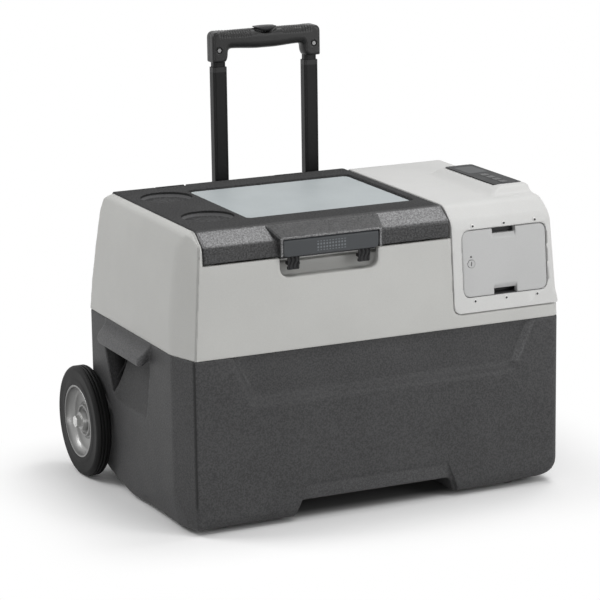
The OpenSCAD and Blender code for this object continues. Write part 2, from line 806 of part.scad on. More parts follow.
grille_bar = 3;
grille_slots = 9;
grille_pitch = (vent_h - 4 * grille_bar) / grille_slots;
grille_fit = 0.3;
grille_half = vent_w / 2 - 3 * grille_bar;
grille_z0 = vent_z - vent_h / 2 + grille_bar;
module vent_grille() color(charcoal) at_body() difference() {
  vent_opening(grille_fit, hd - wall, hd);
  for (k = [0:grille_slots - 1])
    span([vent_x - grille_half, hd - wall - eps, grille_z0 + grille_bar + k * grille_pitch],
         [vent_x + grille_half, hd + eps, grille_z0 + (k + 1) * grille_pitch]);
}

fan_w = 120;
fan_t = 25;
fan_hole = 56;
fan_hub = 20;
fan_y1 = hd - wall;
fan_y0 = fan_y1 - fan_t;
fan_shaft = 3;
spoke = 3;
module fan_frame() color(black) at_body() {
  difference() {
    span([vent_x - fan_w / 2, fan_y0, vent_z - fan_w / 2],
         [vent_x + fan_w / 2, fan_y1, vent_z + fan_w / 2]);
    rod_y(vent_x, fan_y0 - eps, fan_y1 + eps, vent_z, fan_hole);
  }
  difference() {
    union() {
      span([vent_x - fan_hole - eps, fan_y0, vent_z - spoke],
           [vent_x + fan_hole + eps, fan_y0 + spoke, vent_z + spoke]);
      span([vent_x - spoke, fan_y0, vent_z - fan_hole - eps],
           [vent_x + spoke, fan_y0 + spoke, vent_z + fan_hole + eps]);
      rod_y(vent_x, fan_y0, fan_y0 + spoke, vent_z, fan_hub);
    }
    rod_y(vent_x, fan_y0 - eps, fan_y0 + spoke + eps, vent_z, fan_shaft + run_fit);
  }
}
fan_blades = 7;
blade_t = 2;
blade_w = 16;
blade_pitch = 30;
blade_gap = 3;
hub_lap = 4;
module fan_rotor() color("dimgray") at_body() {
  rod_y(vent_x, fan_y0 + eps, fan_y0 + spoke + 2 * eps, vent_z, fan_shaft);
  rod_y(vent_x, fan_y0 + spoke + eps, fan_y1 - spoke, vent_z, fan_hub);
  for (k = [0:fan_blades - 1])
    translate([vent_x, (fan_y0 + fan_y1) / 2, vent_z])
      rotate([0, k * 360 / fan_blades, 0]) rotate([0, 0, blade_pitch])
        span([-blade_t / 2, -blade_w / 2, fan_hub - hub_lap],
             [blade_t / 2, blade_w / 2, fan_hole - blade_gap]);
}

cond_t = 28;
cond_y1 = fan_y0;
cond_y0 = cond_y1 - cond_t;
cond_fins = 16;
fin_t = 2;
module condenser() color(silver) at_body() {
  for (side = [-1, 1])
    span([vent_x + side * fan_w / 2 - fin_t, cond_y0, vent_z - fan_w / 2],
         [vent_x + side * fan_w / 2 + fin_t, cond_y1, vent_z + fan_w / 2]);
  for (k = [0:cond_fins - 1])
    translate([0, 0, vent_z - fan_w / 2 + k * (fan_w - fin_t) / (cond_fins - 1)])
      span([vent_x - fan_w / 2, cond_y0, 0], [vent_x + fan_w / 2, cond_y1, fin_t]);
}

// Straight runs of pipe joined by round elbows
module pipe(points, r) {
  for (k = [0:len(points) - 2]) {
    d = points[k + 1] - points[k];
    translate(points[k]) rotate([0, acos(d[2] / norm(d)), atan2(d[1], d[0])])
      cylinder(h = norm(d), r = r);
  }
  for (k = [1:len(points) - 2]) translate(points[k]) sphere(r = r);
}
pipe_r = 2.5;
comp_top = comp_z - plate_t / 2 + comp_h;
drier_r = 8;
drier_h = 60;
drier_side = 14;
drier_out = 30;
drier_x = vent_x - fan_w / 2 + drier_side;
drier_y = cond_y0 - drier_out;
drier_z = vent_z - fan_w / 2 + drier_out;
drier_tail = 20;
high_rise = 40;
low_rise = 14;
low_out = 20;
stub_side = 14;
stub_out = 20;
high_pipe_z = comp_top + high_rise;
low_pipe_z = comp_top + low_rise;
low_pipe_x = bulkhead_x + bulkhead_t + low_out;
stub_x = comp_x - stub_side;
stub_y = comp_y - stub_out;
module refrigerant_tubes() color(copper) at_body() {
  pipe([[comp_x, comp_y, comp_top], [comp_x, comp_y, high_pipe_z], [comp_x, cond_y0, high_pipe_z]], pipe_r);
  pipe([[stub_x, stub_y, comp_top], [stub_x, stub_y, low_pipe_z], [low_pipe_x, stub_y, low_pipe_z],
        [low_pipe_x, suction_y, low_pipe_z], [low_pipe_x, suction_y, suction_z],
        [tub_x1 + tub_wall + evap_t, suction_y, suction_z]], pipe_r);
  rod_z(drier_x, drier_y, drier_z, drier_z + drier_h, drier_r);
  pipe([[drier_x, drier_y, drier_z], [drier_x, drier_y, drier_z - drier_tail],
        [drier_x, cond_y0, drier_z - drier_tail]], pipe_r);
}

controller = [32, 110, 70];
controller_in = 40;
controller_y = controller_in - inner_y;
controller_z = 200;
module compressor_controller() color("silver") at_body()
  translate([bulkhead_x + bulkhead_t, controller_y, controller_z]) cube(controller);

inlet_rim = 4;
inlet_lip = 2;
inlet_long = 22;
socket_deep = 14;
socket_r = 7;
module dc_inlet() color(black) at_body() difference() {
  union() {
    rod_x(hw - inlet_long, hw, inlet_y, inlet_z, inlet_r - run_fit);
    rod_x(hw, hw + inlet_lip, inlet_y, inlet_z, inlet_r + inlet_rim);
  }
  rod_x(hw - socket_deep, hw + 2 * inlet_lip, inlet_y, inlet_z, socket_r);
}

// Wheels and axle

wheel_x0 = hw + wheel_gap;
wheel_x1 = wheel_x0 + tyre_w;
nut_r = 10;
nut_t = 5;
hub_r = 25;
boss_r = 15;
dish = 8;
module axle() color(silver) at_body() rod_x(-wheel_x1 - nut_t, wheel_x1 + nut_t, axle_y, wheel_z, axle_r);
module axle_nuts() color(silver) at_body() both_ends() difference() {
  translate([wheel_x1 - dish + free_gap, axle_y, wheel_z]) rotate([0, 90, 0])
    cylinder(h = nut_t + dish - 2 * free_gap, r = nut_r, $fn = 6);
  rod_x(wheel_x1 - dish, wheel_x1 + 2 * nut_t, axle_y, wheel_z, axle_r + run_fit);
}
saddle_side = 45;
saddle_w = 30;
saddle_x1 = hw - saddle_side;
saddle_x0 = saddle_x1 - saddle_w;
saddle_h = 22;
module axle_brackets() color("gray") at_body() both_ends() difference() {
  union() {
    span([saddle_x0, hd, wheel_z - saddle_h], [saddle_x1, hd + wall, wheel_z + saddle_h]);
    span([saddle_x0, axle_y - channel_r + free_gap, wheel_z - channel_r + free_gap],
         [saddle_x1, axle_y + axle_r + wall, wheel_z + channel_r - free_gap]);
  }
  rod_x(saddle_x0 - eps, saddle_x1 + eps, axle_y, wheel_z, axle_r + run_fit);
}

groove = 2.5;
groove_w = 2;
groove_pitch = 6;
shoulder_r = 6;
wheel_x = (wheel_x0 + wheel_x1) / 2;
module tyre(side) color(black) at_body() translate([side * wheel_x, axle_y, wheel_z])
  rotate([0, 90, 0]) rotate_extrude() difference() {
    polygon(concat(
      [[rim_r, -tyre_w / 2]], arc(wheel_r - shoulder_r, -tyre_w / 2 + shoulder_r, shoulder_r, -90, 0),
      arc(wheel_r - shoulder_r, tyre_w / 2 - shoulder_r, shoulder_r, 0, 90), [[rim_r, tyre_w / 2]]));
    for (k = [-1:1])
      translate([wheel_r - groove, k * groove_pitch - groove_w / 2]) square([2 * groove, groove_w]);
  }

// Rim profile as radius and height, from the inner side round to the outer side
disc_t = 2;
flange_t = 3;
function rim_profile(h) = [
  [axle_r + run_fit, -h], [boss_r, -h], [boss_r, -disc_t], [rim_r - 4 * flange_t, -disc_t],
  [rim_r - 2 * flange_t, -h], [rim_r - run_fit, -h], [rim_r - run_fit, h], [rim_r - flange_t, h],
  [rim_r - dish, flange_t], [hub_r, 2 * disc_t], [hub_r - disc_t, disc_t], [boss_r + disc_t, disc_t],
  [boss_r, h - dish], [axle_r + run_fit, h - dish]];
module rim(side) color(silver) at_body() translate([side * wheel_x, axle_y, wheel_z])
  rotate([0, side * 90, 0]) rotate_extrude() polygon(rim_profile(tyre_w / 2));
module tyre_left() tyre(-1);
module tyre_right() tyre(1);
module rim_left() rim(-1);
module rim_right() rim(1);

// Trolley handle

tube_y = hd + tube_gap + outer_d / 2;
outer_low = 14;
outer_high = 26;
outer_z0 = wheel_z + channel_r + outer_low;
outer_z1 = seam_h + outer_high;
middle_z0 = outer_z1 - stage_overlap;
collar_h = 8;
inner_w = tube_w - 2 * (tube_wall + tube_fit);
inner_d = tube_d - 2 * (tube_wall + tube_fit);
inner_lead = 15;
inner_z0 = middle_z0 + inner_lead;
tube_r = 2.5;
grip_z0 = stage_h + neck_h;
grip_z1 = grip_z0 + grip_h;
socket_h = 10;
module tube_bar(x, w, d, z0, z1)
  along_z(round_rect(x - w / 2, tube_y - d / 2, x + w / 2, tube_y + d / 2, tube_r), z0, z1);
module tube_pair(w, d, z0, z1) for (x = [-tube_x, tube_x]) difference() {
  tube_bar(x, w, d, z0, z1);
  tube_bar(x, w - 2 * tube_wall, d - 2 * tube_wall, z0 - eps, z1 + eps);
}
module outer_tubes() color(black) at_body() tube_pair(outer_w, outer_d, outer_z0, outer_z1);
module middle_tubes() color(black) at_body() tube_pair(tube_w, tube_d, middle_z0, stage_h - collar_h);
module middle_collars() color(black) at_body() tube_pair(tube_w, tube_d, stage_h - collar_h, stage_h);
module inner_tubes() color(black) at_body() tube_pair(inner_w, inner_d, inner_z0, grip_z0 + socket_h);

module upper_tube_bracket() color(charcoal) at_body() difference() {
  union() {
    for (x = [-tube_x, tube_x])
      span([x - bracket_w / 2, pad_y, pad_z0],
           [x + bracket_w / 2, tube_y + outer_d / 2 + bracket_wall, pad_z1]);
    span([-tube_x, pad_y + bracket_wall, pad_z0 + bracket_wall],
         [tube_x, pad_y + 2 * bracket_wall, pad_z1 - bracket_wall]);
  }
  for (x = [-tube_x, tube_x]) tube_bar(x, outer_w, outer_d, pad_z0 - eps, pad_z1 + eps);
}
module lower_tube_bracket() color(charcoal) at_body() difference() {
  for (x = [-tube_x, tube_x])
    span([x - bracket_w / 2, hd, outer_z0 - bracket_wall],
         [x + bracket_w / 2, tube_y + outer_d / 2 + bracket_wall, outer_z0 + 4 * bracket_wall]);
  for (x = [-tube_x, tube_x]) tube_bar(x, outer_w, outer_d, outer_z0, outer_z0 + 5 * bracket_wall);
}

grip_r = 12;
grip_leg = 14;
grip_bow = 3;
grip_rise = 17;
grip_under = grip_z0 + grip_rise;
grip_ease = 4;
link_h = 8;
link_drop = 22;
link_room = 1;
link_end = 5;
link_z = grip_z1 - link_drop;
link_d = 10;
lift_rod_r = 2;
lift_rod_x = tube_x - link_end;
grip_screw_out = 3;
grip_screw_up = 7;
grip_screw_x = tube_x + grip_screw_out;
grip_screw_z = grip_z0 + socket_h + grip_screw_up;
grip_x = tube_x + grip_out;
grip_half_w = tube_x - grip_leg;
bow_step = grip_half_w / 3.3;
function grip_outline() = concat(
  [[-grip_half_w, grip_z0], [-grip_half_w, grip_under - grip_ease]],
  [for (k = [-3:3]) [k * bow_step, grip_under + grip_bow * (1 - pow(k / 3, 2))]],
  [[grip_half_w, grip_under - grip_ease], [grip_half_w, grip_z0], [grip_x, grip_z0]],
  arc(grip_x - grip_r, grip_z1 - grip_r, grip_r, 0, 90),
  arc(-grip_x + grip_r, grip_z1 - grip_r, grip_r, 90, 180), [[-grip_x, grip_z0]]);
grip_head_y = tube_y - grip_d / 2 + screw_head;
module grip_hollow() {
  for (side = [-1, 1]) {
    tube_bar(side * tube_x, inner_w, inner_d, grip_z0 - eps, grip_z0 + socket_h);
    rod_z(side * lift_rod_x, tube_y, grip_z0, link_z + eps, lift_rod_r + link_room);
    rod_y(side * grip_screw_x, tube_y - grip_d, tube_y + grip_d, grip_screw_z, screw_hole_r);
    rod_y(side * grip_screw_x, tube_y - grip_d, grip_head_y, grip_screw_z, screw_r + free_gap);
  }
  span([-tube_x - link_end - link_room, tube_y - link_d / 2 - link_room, link_z - button_travel - link_room],
       [tube_x + link_end + link_room, tube_y + link_d / 2 + link_room, link_z + link_h + link_room]);
  span([-button_w / 2 - free_gap, tube_y - link_d / 2 - free_gap, link_z],
       [button_w / 2 + free_gap, tube_y + link_d / 2 + free_gap, grip_z1 + eps]);
}
module grip_front() color(black) at_body() difference() {
  along_y(grip_outline(), tube_y - grip_d / 2, tube_y);
  grip_hollow();
}
module grip_back() color(black) at_body() difference() {
  along_y(grip_outline(), tube_y, tube_y + grip_d / 2);
  grip_hollow();
}
module grip_screws() color(silver) at_body() for (x = [-grip_screw_x, grip_screw_x]) {
  rod_y(x, tube_y - grip_d / 2, tube_y + grip_d / 2 - wall, grip_screw_z, screw_hole_r - run_fit);
  rod_y(x, tube_y - grip_d / 2 - head_gap, grip_head_y, grip_screw_z, screw_r);
}
button_up = 2;
module release_button() color(black) at_body() {
  span([-tube_x - link_end, tube_y - link_d / 2, link_z],
       [tube_x + link_end, tube_y + link_d / 2, link_z + link_h]);
  span([-button_w / 2, tube_y - link_d / 2, link_z],
       [button_w / 2, tube_y + link_d / 2, grip_z1 + button_up]);
}
module release_rods() color(silver) at_body()
  for (x = [-lift_rod_x, lift_rod_x]) rod_z(x, tube_y, inner_z0 + socket_h, link_z, lift_rod_r);

// Lid

hinge_out = 1;
hinge_y = lid_y1 + hinge_out;
hinge_z = top_h - hinge_drop;
knuckle_r = 5;
knuckle_side = 15;
notch_room = 6;
hinge_notch_w = hinge_leaf + 2 * knuckle_side + notch_room;
notch_y = hinge_y - knuckle_r - notch_room;
notch_z = hinge_z - knuckle_r - notch_room;
function lid_side(i, low) = [
  [lid_y0 + i, low], [lid_y0 + i, bevel_z - i / 2], [lid_y0 + bevel_d + i / 2, top_h - i],
  [lid_y1 - i, top_h - i], [lid_y1 - i, low]];
board_cx = lid_x1 - board_x;
board_sink = 2;
board_fit = 0.5;
board_r = 5;
module board_outline(grow, z0, z1)
  along_z(round_rect(board_cx - board_w / 2 - grow, board_y - board_d / 2 - grow,
                     board_cx + board_w / 2 + grow, board_y + board_d / 2 + grow, board_r + grow), z0, z1);
board_z = top_h - board_sink - board_t;
module cups(grow) for (y = [-1, 1])
  rod_z(lid_x0 + cup_x, cup_y + y * cup_pitch / 2, top_h - cup_deep - grow, top_h + eps, cup_r + grow);
module hinge_notches(grow) for (x = hinge_xs)
  span([x - hinge_notch_w / 2 - grow, notch_y - grow, notch_z - grow],
       [x + hinge_notch_w / 2 + grow, lid_y1 + eps, top_h + eps]);
module lid_outer() color(charcoal) at_body() difference() {
  along_x(lid_side(0, seam_h), lid_x0, lid_x1);
  difference() {
    along_x(lid_side(wall, seam_h - eps), lid_x0 + wall, lid_x1 - wall);
    board_outline(board_fit + wall, board_z - wall, top_h);
    cups(wall);
    hinge_notches(wall);
  }
  board_outline(board_fit, board_z, top_h + eps);
  cups(0);
  hinge_notches(0);
}
module cutting_board() color("lightsteelblue") at_body() board_outline(0, board_z, board_z + board_t);

plug_in = 6;
plug_h = 15;
pan_t = 2;
module lid_inner() color("white") at_body() difference() {
  union() {
    span([lid_x0 + wall, lid_y0 + wall, seam_h], [lid_x1 - wall, lid_y1 - wall, seam_h + pan_t]);
    tub_block(-plug_in, seam_h - plug_h, seam_h + pan_t);
  }
  tub_block(-plug_in - pan_t, seam_h - plug_h + pan_t, seam_h + 2 * pan_t);
}
foam_lid_z = top_h - cup_deep - 2 * wall;
module lid_foam() color(foam_cream) at_body() {
  tub_block(-plug_in - pan_t, seam_h - plug_h + pan_t, seam_h + pan_t);
  span([lid_x0 + 2 * wall, lid_y0 + 2 * wall, seam_h + pan_t],
       [lid_x1 - 2 * wall, notch_y - 2 * wall, foam_lid_z]);
}
gasket_gap = 0.3;
module lid_gasket() color(black) at_body() difference() {
  tub_block(flange, tub_top + gasket_gap, seam_h);
  tub_block(tub_wall, tub_top - eps, seam_h + eps);
}

leaf_t = 3;
knuckle_off = hinge_leaf / 2 + free_gap + knuckle_side / 2;
module lid_hinges() color("gray") at_body() for (x = hinge_xs, side = [-1, 1]) difference() {
  translate([x + side * knuckle_off, 0, 0]) {
    rod_x(-knuckle_side / 2, knuckle_side / 2, hinge_y, hinge_z, knuckle_r);
    span([-knuckle_side / 2, notch_y, hinge_z - leaf_t], [knuckle_side / 2, hinge_y, hinge_z + leaf_t]);
  }
  rod_x(x - hinge_notch_w, x + hinge_notch_w, hinge_y, hinge_z, hinge_pin_r + run_fit);
}
module hinge_brackets() color("gray") at_body() for (x = hinge_xs) difference() {
  union() {
    rod_x(x - hinge_leaf / 2, x + hinge_leaf / 2, hinge_y, hinge_z, knuckle_r);
    span([x - hinge_leaf / 2, pad_y, pad_z0], [x + hinge_leaf / 2, pad_y + leaf_t, hinge_z]);
  }
  rod_x(x - hinge_leaf, x + hinge_leaf, hinge_y, hinge_z, hinge_pin_r + run_fit);
}
module hinge_pins() color(silver) at_body() for (x = hinge_xs)
  rod_x(x - hinge_leaf / 2 - knuckle_side, x + hinge_leaf / 2 + knuckle_side, hinge_y, hinge_z, hinge_pin_r);

// Latch on the lid's front edge

barrel_r = latch_t / 2 + free_gap;
latch_out = 1.5;
latch_y = lid_y0 - latch_t / 2 - latch_out;
latch_z = seam_h + latch_h - barrel_r;
cheek_t = 4;
roof_z = latch_z + barrel_r + free_gap;
roof_t = 2.5;
function bevel_y(z) = lid_y0 + bevel_d * (z - bevel_z) / bevel_h;
roof_drop = 3;
roof_back = top_h - roof_drop;
roof_ease = 1;
latch_pin_r = 1.5;
latch_pin_long = 16;
roof_out = 2;
roof_front = latch_y - barrel_r - roof_out;
roof_half = latch_w / 2 + cheek_t + free_gap;
roof_back_half = latch_w / 2 + 4 * cheek_t;
cheek_off = latch_w / 2 + free_gap + cheek_t / 2;
pin_off = latch_w / 2 - latch_pin_long / 2 + cheek_t / 2;
module latch_housing() color(charcoal) at_body() difference() {
  union() {
    intersection() {
      along_x([[roof_front, roof_z], [bevel_y(roof_z), roof_z], [bevel_y(roof_back), roof_back],
               [bevel_y(roof_back) - roof_drop, roof_back + roof_ease], [roof_front, roof_z + roof_t]],
              lid_x0, lid_x1);
      along_z([[latch_x - roof_half, roof_front], [latch_x + roof_half, roof_front],
               [latch_x + roof_back_half, bevel_y(top_h)], [latch_x - roof_back_half, bevel_y(top_h)]],
              seam_h, top_h + eps);
    }
    for (side = [-1, 1])
      translate([latch_x + side * cheek_off, 0, 0]) along_x([
        [latch_y - barrel_r, roof_z], [latch_y - barrel_r, latch_z], [latch_y, latch_z - 2 * barrel_r],
        [lid_y0, latch_z - 2 * barrel_r], [lid_y0, roof_z]], -cheek_t / 2, cheek_t / 2);
  }
  rod_x(lid_x0, lid_x1, latch_y, latch_z, latch_pin_r + run_fit);
}
module latch_handle() color(blue_grey) at_body() {
  difference() {
    union() {
      rod_x(latch_x - latch_w / 2, latch_x + latch_w / 2, latch_y, latch_z, barrel_r);
      span([latch_x - latch_w / 2, latch_y - barrel_r, seam_h],
           [latch_x + latch_w / 2, latch_y + latch_t - barrel_r, latch_z]);
    }
    for (side = [-1, 1]) translate([latch_x + side * latch_w / 2, 0, 0])
      rod_x(-latch_pin_long, latch_pin_long, latch_y, latch_z, latch_pin_r);
  }
  for (side = [-1, 1]) translate([latch_x + side * pin_off, 0, 0])
    rod_x(-latch_pin_long / 2, latch_pin_long / 2, latch_y, latch_z, latch_pin_r);
}

hook_z = seam_h - hook_h;
hook_y0 = latch_y - latch_t / 2;
hook_y1 = latch_y + free_gap;
toe_h = 4.5;
toe_slope = 1;
toe_ease = 1;
toe_out = 3.5;
toe_y = latch_y + toe_out;
strike_h = 4.5;
strike_y = toe_y + free_gap;
strike_z = hook_z + toe_h + toe_ease;
module latch_hooks() color(black) at_body() for (side = [-1, 1])
  translate([latch_x + side * hook_pitch / 2, 0, 0]) along_x([
    [hook_y0, seam_h], [hook_y1, seam_h], [hook_y1, hook_z + toe_h + toe_slope], [toe_y, hook_z + toe_h],
    [toe_y, hook_z + toe_ease], [toe_y - toe_ease, hook_z], [hook_y0 + toe_ease, hook_z]],
    -hook_w / 2, hook_w / 2);
module latch_strikes() color("dimgray") at_body() for (side = [-1, 1])
  translate([latch_x + side * hook_pitch / 2, 0, 0])
    span([-hook_w / 2, strike_y, strike_z], [hook_w / 2, recess_y, strike_z + strike_h]);

lower_shell();
upper_shell();
compressor_cover();
bulkhead();
inner_liner();
tub_foam();
evaporator();
compressor();
compressor_grommets();
condenser();
fan_frame();
fan_rotor();
refrigerant_tubes();
compressor_controller();
control_board();
panel_fascia();
display_window();
power_button();
set_button();
up_button();
down_button();
battery_bay();
battery_door();
battery_case();
battery_cells();
battery_lock();
cover_screws();
vent_grille();
dc_inlet();
rubber_feet();
axle();
axle_brackets();
axle_nuts();
tyre_left();
rim_left();
tyre_right();
rim_right();
outer_tubes();
upper_tube_bracket();
lower_tube_bracket();
middle_tubes();
middle_collars();
inner_tubes();
grip_front();
grip_back();
grip_screws();
release_button();
release_rods();
lid_outer();
lid_inner();
lid_foam();
lid_gasket();
lid_hinges();
hinge_brackets();
hinge_pins();
cutting_board();
latch_housing();
latch_handle();
latch_hooks();
latch_strikes();
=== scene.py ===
"""Dressed model of a wheeled compressor cooler box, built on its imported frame.

Moulded shells are rounded forms, given as signed distances in millimetres from the middle of the
box's footprint, and skinned to meshes. Tubes, wheels and rings are swept from sections. Inner parts
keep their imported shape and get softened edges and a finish.
"""
import functools
import logging
import math
from collections.abc import Callable, Sequence
from dataclasses import dataclass
from enum import Enum

import bmesh
import bpy
import numpy as np
from mathutils import Matrix, Vector


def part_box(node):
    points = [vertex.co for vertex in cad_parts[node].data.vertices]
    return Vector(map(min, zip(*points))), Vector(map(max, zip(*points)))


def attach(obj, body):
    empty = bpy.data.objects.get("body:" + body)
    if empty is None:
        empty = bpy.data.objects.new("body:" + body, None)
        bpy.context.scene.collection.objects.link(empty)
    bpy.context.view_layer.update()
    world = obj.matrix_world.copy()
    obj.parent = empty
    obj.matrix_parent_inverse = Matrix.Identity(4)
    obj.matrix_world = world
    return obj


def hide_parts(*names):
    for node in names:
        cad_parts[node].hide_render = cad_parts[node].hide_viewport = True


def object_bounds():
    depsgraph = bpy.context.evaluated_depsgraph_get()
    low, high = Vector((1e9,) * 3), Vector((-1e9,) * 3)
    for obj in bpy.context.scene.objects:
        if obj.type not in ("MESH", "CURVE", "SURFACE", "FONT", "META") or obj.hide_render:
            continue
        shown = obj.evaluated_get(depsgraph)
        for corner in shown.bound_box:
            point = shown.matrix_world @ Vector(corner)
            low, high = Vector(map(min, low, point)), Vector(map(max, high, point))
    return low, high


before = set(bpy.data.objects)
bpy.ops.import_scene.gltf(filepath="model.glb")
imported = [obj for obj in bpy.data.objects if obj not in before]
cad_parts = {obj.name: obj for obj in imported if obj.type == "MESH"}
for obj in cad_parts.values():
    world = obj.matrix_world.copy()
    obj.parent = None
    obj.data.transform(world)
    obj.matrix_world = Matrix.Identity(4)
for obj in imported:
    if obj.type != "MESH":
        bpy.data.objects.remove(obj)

CAD_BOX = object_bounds()
LOG = logging.getLogger("cooler")
MM = 0.001
Array = np.ndarray
Pair = tuple[float, float]
Triple = tuple[float, float, float]
_low, _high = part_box("lower_shell")
ORIGIN = Vector((0.0, (_low.y + _high.y) / 2, _low.z))

# Sizes in millimetres that several sub-assemblies share: the seam between the shells, how far the
# front leans in over a height, the foot of the compressor cover's front, and places on the lid and
# the back.
SEAM = 268.0
LEAN_IN, LEAN_UP = 12.0, 143.0
COVER_FRONT = -200.0
LID_BEVEL = (29.0, 20.0)
CUPS = ((-220.0, 104.5), (-220.0, -60.5))
CUP_R = 41.0
HINGE_X = (-180.0, 30.0)
TUBE_X = 81.0
SHARP_DEGREES = 40.0


class Axis(Enum):
    """A direction of the box: across it, from front to back, or up."""

    X = 0
    Y = 1
    Z = 2

    def spot(self, value: float) -> Triple:
        """The point that far along the axis."""
        return tuple(value if axis is self else 0.0 for axis in Axis)


@dataclass(frozen=True)
class Box:
    """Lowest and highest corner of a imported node, in millimetres of the box's own frame."""

    lo: Triple
    hi: Triple

    @classmethod
    def of(cls, node: str) -> "Box":
        """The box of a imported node."""
        low, high = ((corner - ORIGIN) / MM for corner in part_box(node))
        return cls(tuple(low), tuple(high))

    def mid(self, axis: Axis) -> float:
        """Middle of the box along an axis."""
        return (self.lo[axis.value] + self.hi[axis.value]) / 2

    def deeper(self, by: float) -> "Box":
        """The box with its bottom moved down."""
        return Box((*self.lo[:2], self.lo[2] - by), self.hi)

    def grown(self, by: float) -> "Box":
        """The box with every side moved out."""
        return Box(tuple(v - by for v in self.lo), tuple(v + by for v in self.hi))


def ease(value: Array, start: float, end: float) -> Array:
    """Goes smoothly from 0 where the value is start to 1 where it is end."""
    t = np.clip((value - start) / (end - start), 0.0, 1.0)
    return t * t * (3.0 - 2.0 * t)


class Form:
    """A solid given by its signed distance in millimetres, negative inside."""

    def __init__(self, distance: Callable[[Array, Array, Array], Array]) -> None:
        """Keeps the distance function."""
        self.distance = distance

    def __call__(self, x: Array, y: Array, z: Array) -> Array:
        """Distance at the given points."""
        return self.distance(x, y, z)

    @staticmethod
    def half(point: Triple, normal: Triple) -> "Form":
        """Everything behind a plane.

        Args:
            point: A point of the plane.
            normal: Direction out of the solid, of any length.

        Returns:
            The half space.
        """
        n = Vector(normal).normalized()
        offset = n.dot(Vector(point))
        return Form(lambda x, y, z: n.x * x + n.y * y + n.z * z - offset)

    @staticmethod
    def past(axis: Axis, at: float) -> "Form":
        """Everything past a place along an axis."""
        return Form.half(axis.spot(at), axis.spot(-1.0))

    @staticmethod
    def before(axis: Axis, at: float) -> "Form":
        """Everything before a place along an axis."""
        return Form.half(axis.spot(at), axis.spot(1.0))

    @staticmethod
    def prism(axis: Axis, outline: Sequence[Pair], radii: float | Sequence[float] = 0.0) -> "Form":
        """An endless bar with a convex section.

        Args:
            axis: Direction of the bar.
            outline: Corners in the plane of the other two axes, in their order x, y, z.
            radii: Radius of every corner, or one radius for each.

        Returns:
            The bar.
        """
        points = [Vector(p) for p in outline]
        rounds = list(radii) if isinstance(radii, Sequence) else [radii] * len(points)
        area = sum(a.x * b.y - b.x * a.y for a, b in zip(points, points[1:] + points[:1]))
        if area < 0:
            points.reverse()
            rounds.reverse()
        faces = []
        for k, (start, end) in enumerate(zip(points, points[1:] + points[:1])):
            run = (end - start).normalized()
            normal = Vector((run.y, -run.x))
            turn = math.degrees(normal.angle(faces[-1][0])) if faces else 0.0
            faces.append((normal, normal.dot(start), Form.width(rounds[k], turn)))
        u, v = (k for k in range(3) if k != axis.value)

        def distance(*at: Array) -> Array:
            """Measures to the faces, one rounded into the next.

            Args:
                *at: Coordinates of the points.

            Returns:
                Their distances.
            """
            total = None
            for normal, offset, wide in faces:
                plane = normal.x * at[u] + normal.y * at[v] - offset
                total = plane if total is None else Form.rounded_max(total, plane, wide)
            return total

        return Form(distance)

    @staticmethod
    def bar(axis: Axis, low: Pair, high: Pair, r: float = 0.0) -> "Form":
        """An endless bar with a rectangular section, from its lower to its upper corner."""
        return Form.prism(axis, [low, (high[0], low[1]), high, (low[0], high[1])], r)

    @staticmethod
    def slab(axis: Axis, low: float, high: float) -> "Form":
        """Everything between two planes across an axis."""
        return Form(lambda *at: np.abs(at[axis.value] - (low + high) / 2) - (high - low) / 2)

    @staticmethod
    def rod(axis: Axis, centre: Pair, r: float) -> "Form":
        """An endless round rod, its centre given in the plane of the other two axes."""
        u, v = (k for k in range(3) if k != axis.value)
        return Form(lambda *at: np.hypot(at[u] - centre[0], at[v] - centre[1]) - r)

    @staticmethod
    def width(r: float, turn: float) -> float:
        """Width of a rounding of radius r between faces that turn by that many degrees."""
        return 4.0 * r * (1.0 / math.cos(math.radians(min(turn, 120.0)) / 2) - 1.0)

    @staticmethod
    def rounded_max(a: Array, b: Array, wide: float | Array) -> Array:
        """The larger of two distances, with a soft change between them.

        Args:
            a: First distance.
            b: Second distance.
            wide: Width of the change.

        Returns:
            The combined distance.
        """
        top = np.maximum(a, b)
        if np.isscalar(wide) and wide <= 0:
            return top
        return top + np.maximum(wide - np.abs(a - b), 0.0) ** 2 / (4.0 * wide)

    def meet(self, other: "Form", r: "float | Form" = 0.0, turn: float = 90.0) -> "Form":
        """What both forms share.

        Args:
            other: The other form.
            r: Radius of the edge, or a form whose value is the radius at each point.
            turn: Degrees between the faces at that edge.

        Returns:
            The shared form.
        """
        unit = Form.width(1.0, turn)

        def distance(x: Array, y: Array, z: Array) -> Array:
            """Distance from what both share."""
            wide = unit * (r(x, y, z) if isinstance(r, Form) else r)
            return Form.rounded_max(self(x, y, z), other(x, y, z), wide)

        return Form(distance)

    def cut(self, other: "Form", r: "float | Form" = 0.0, turn: float = 90.0) -> "Form":
        """This form without the other, with a rounded rim."""
        return self.meet(Form(lambda x, y, z: -other(x, y, z)), r, turn)

    def join(self, other: "Form", r: float = 0.0, turn: float = 90.0) -> "Form":
        """Both forms, with a fillet where they meet."""
        wide = Form.width(r, turn)
        return Form(lambda x, y, z: -Form.rounded_max(-self(x, y, z), -other(x, y, z), wide))

    def both_sides(self) -> "Form":
        """The form of the right side, repeated on the left."""
        return Form(lambda x, y, z: self(np.abs(x), y, z))

    def at_x(self, *places: float) -> "Form":
        """The form repeated at several places across the box."""
        first = Form(lambda x, y, z: self(x - places[0], y, z))
        return first if len(places) == 1 else first.join(self.at_x(*places[1:]))


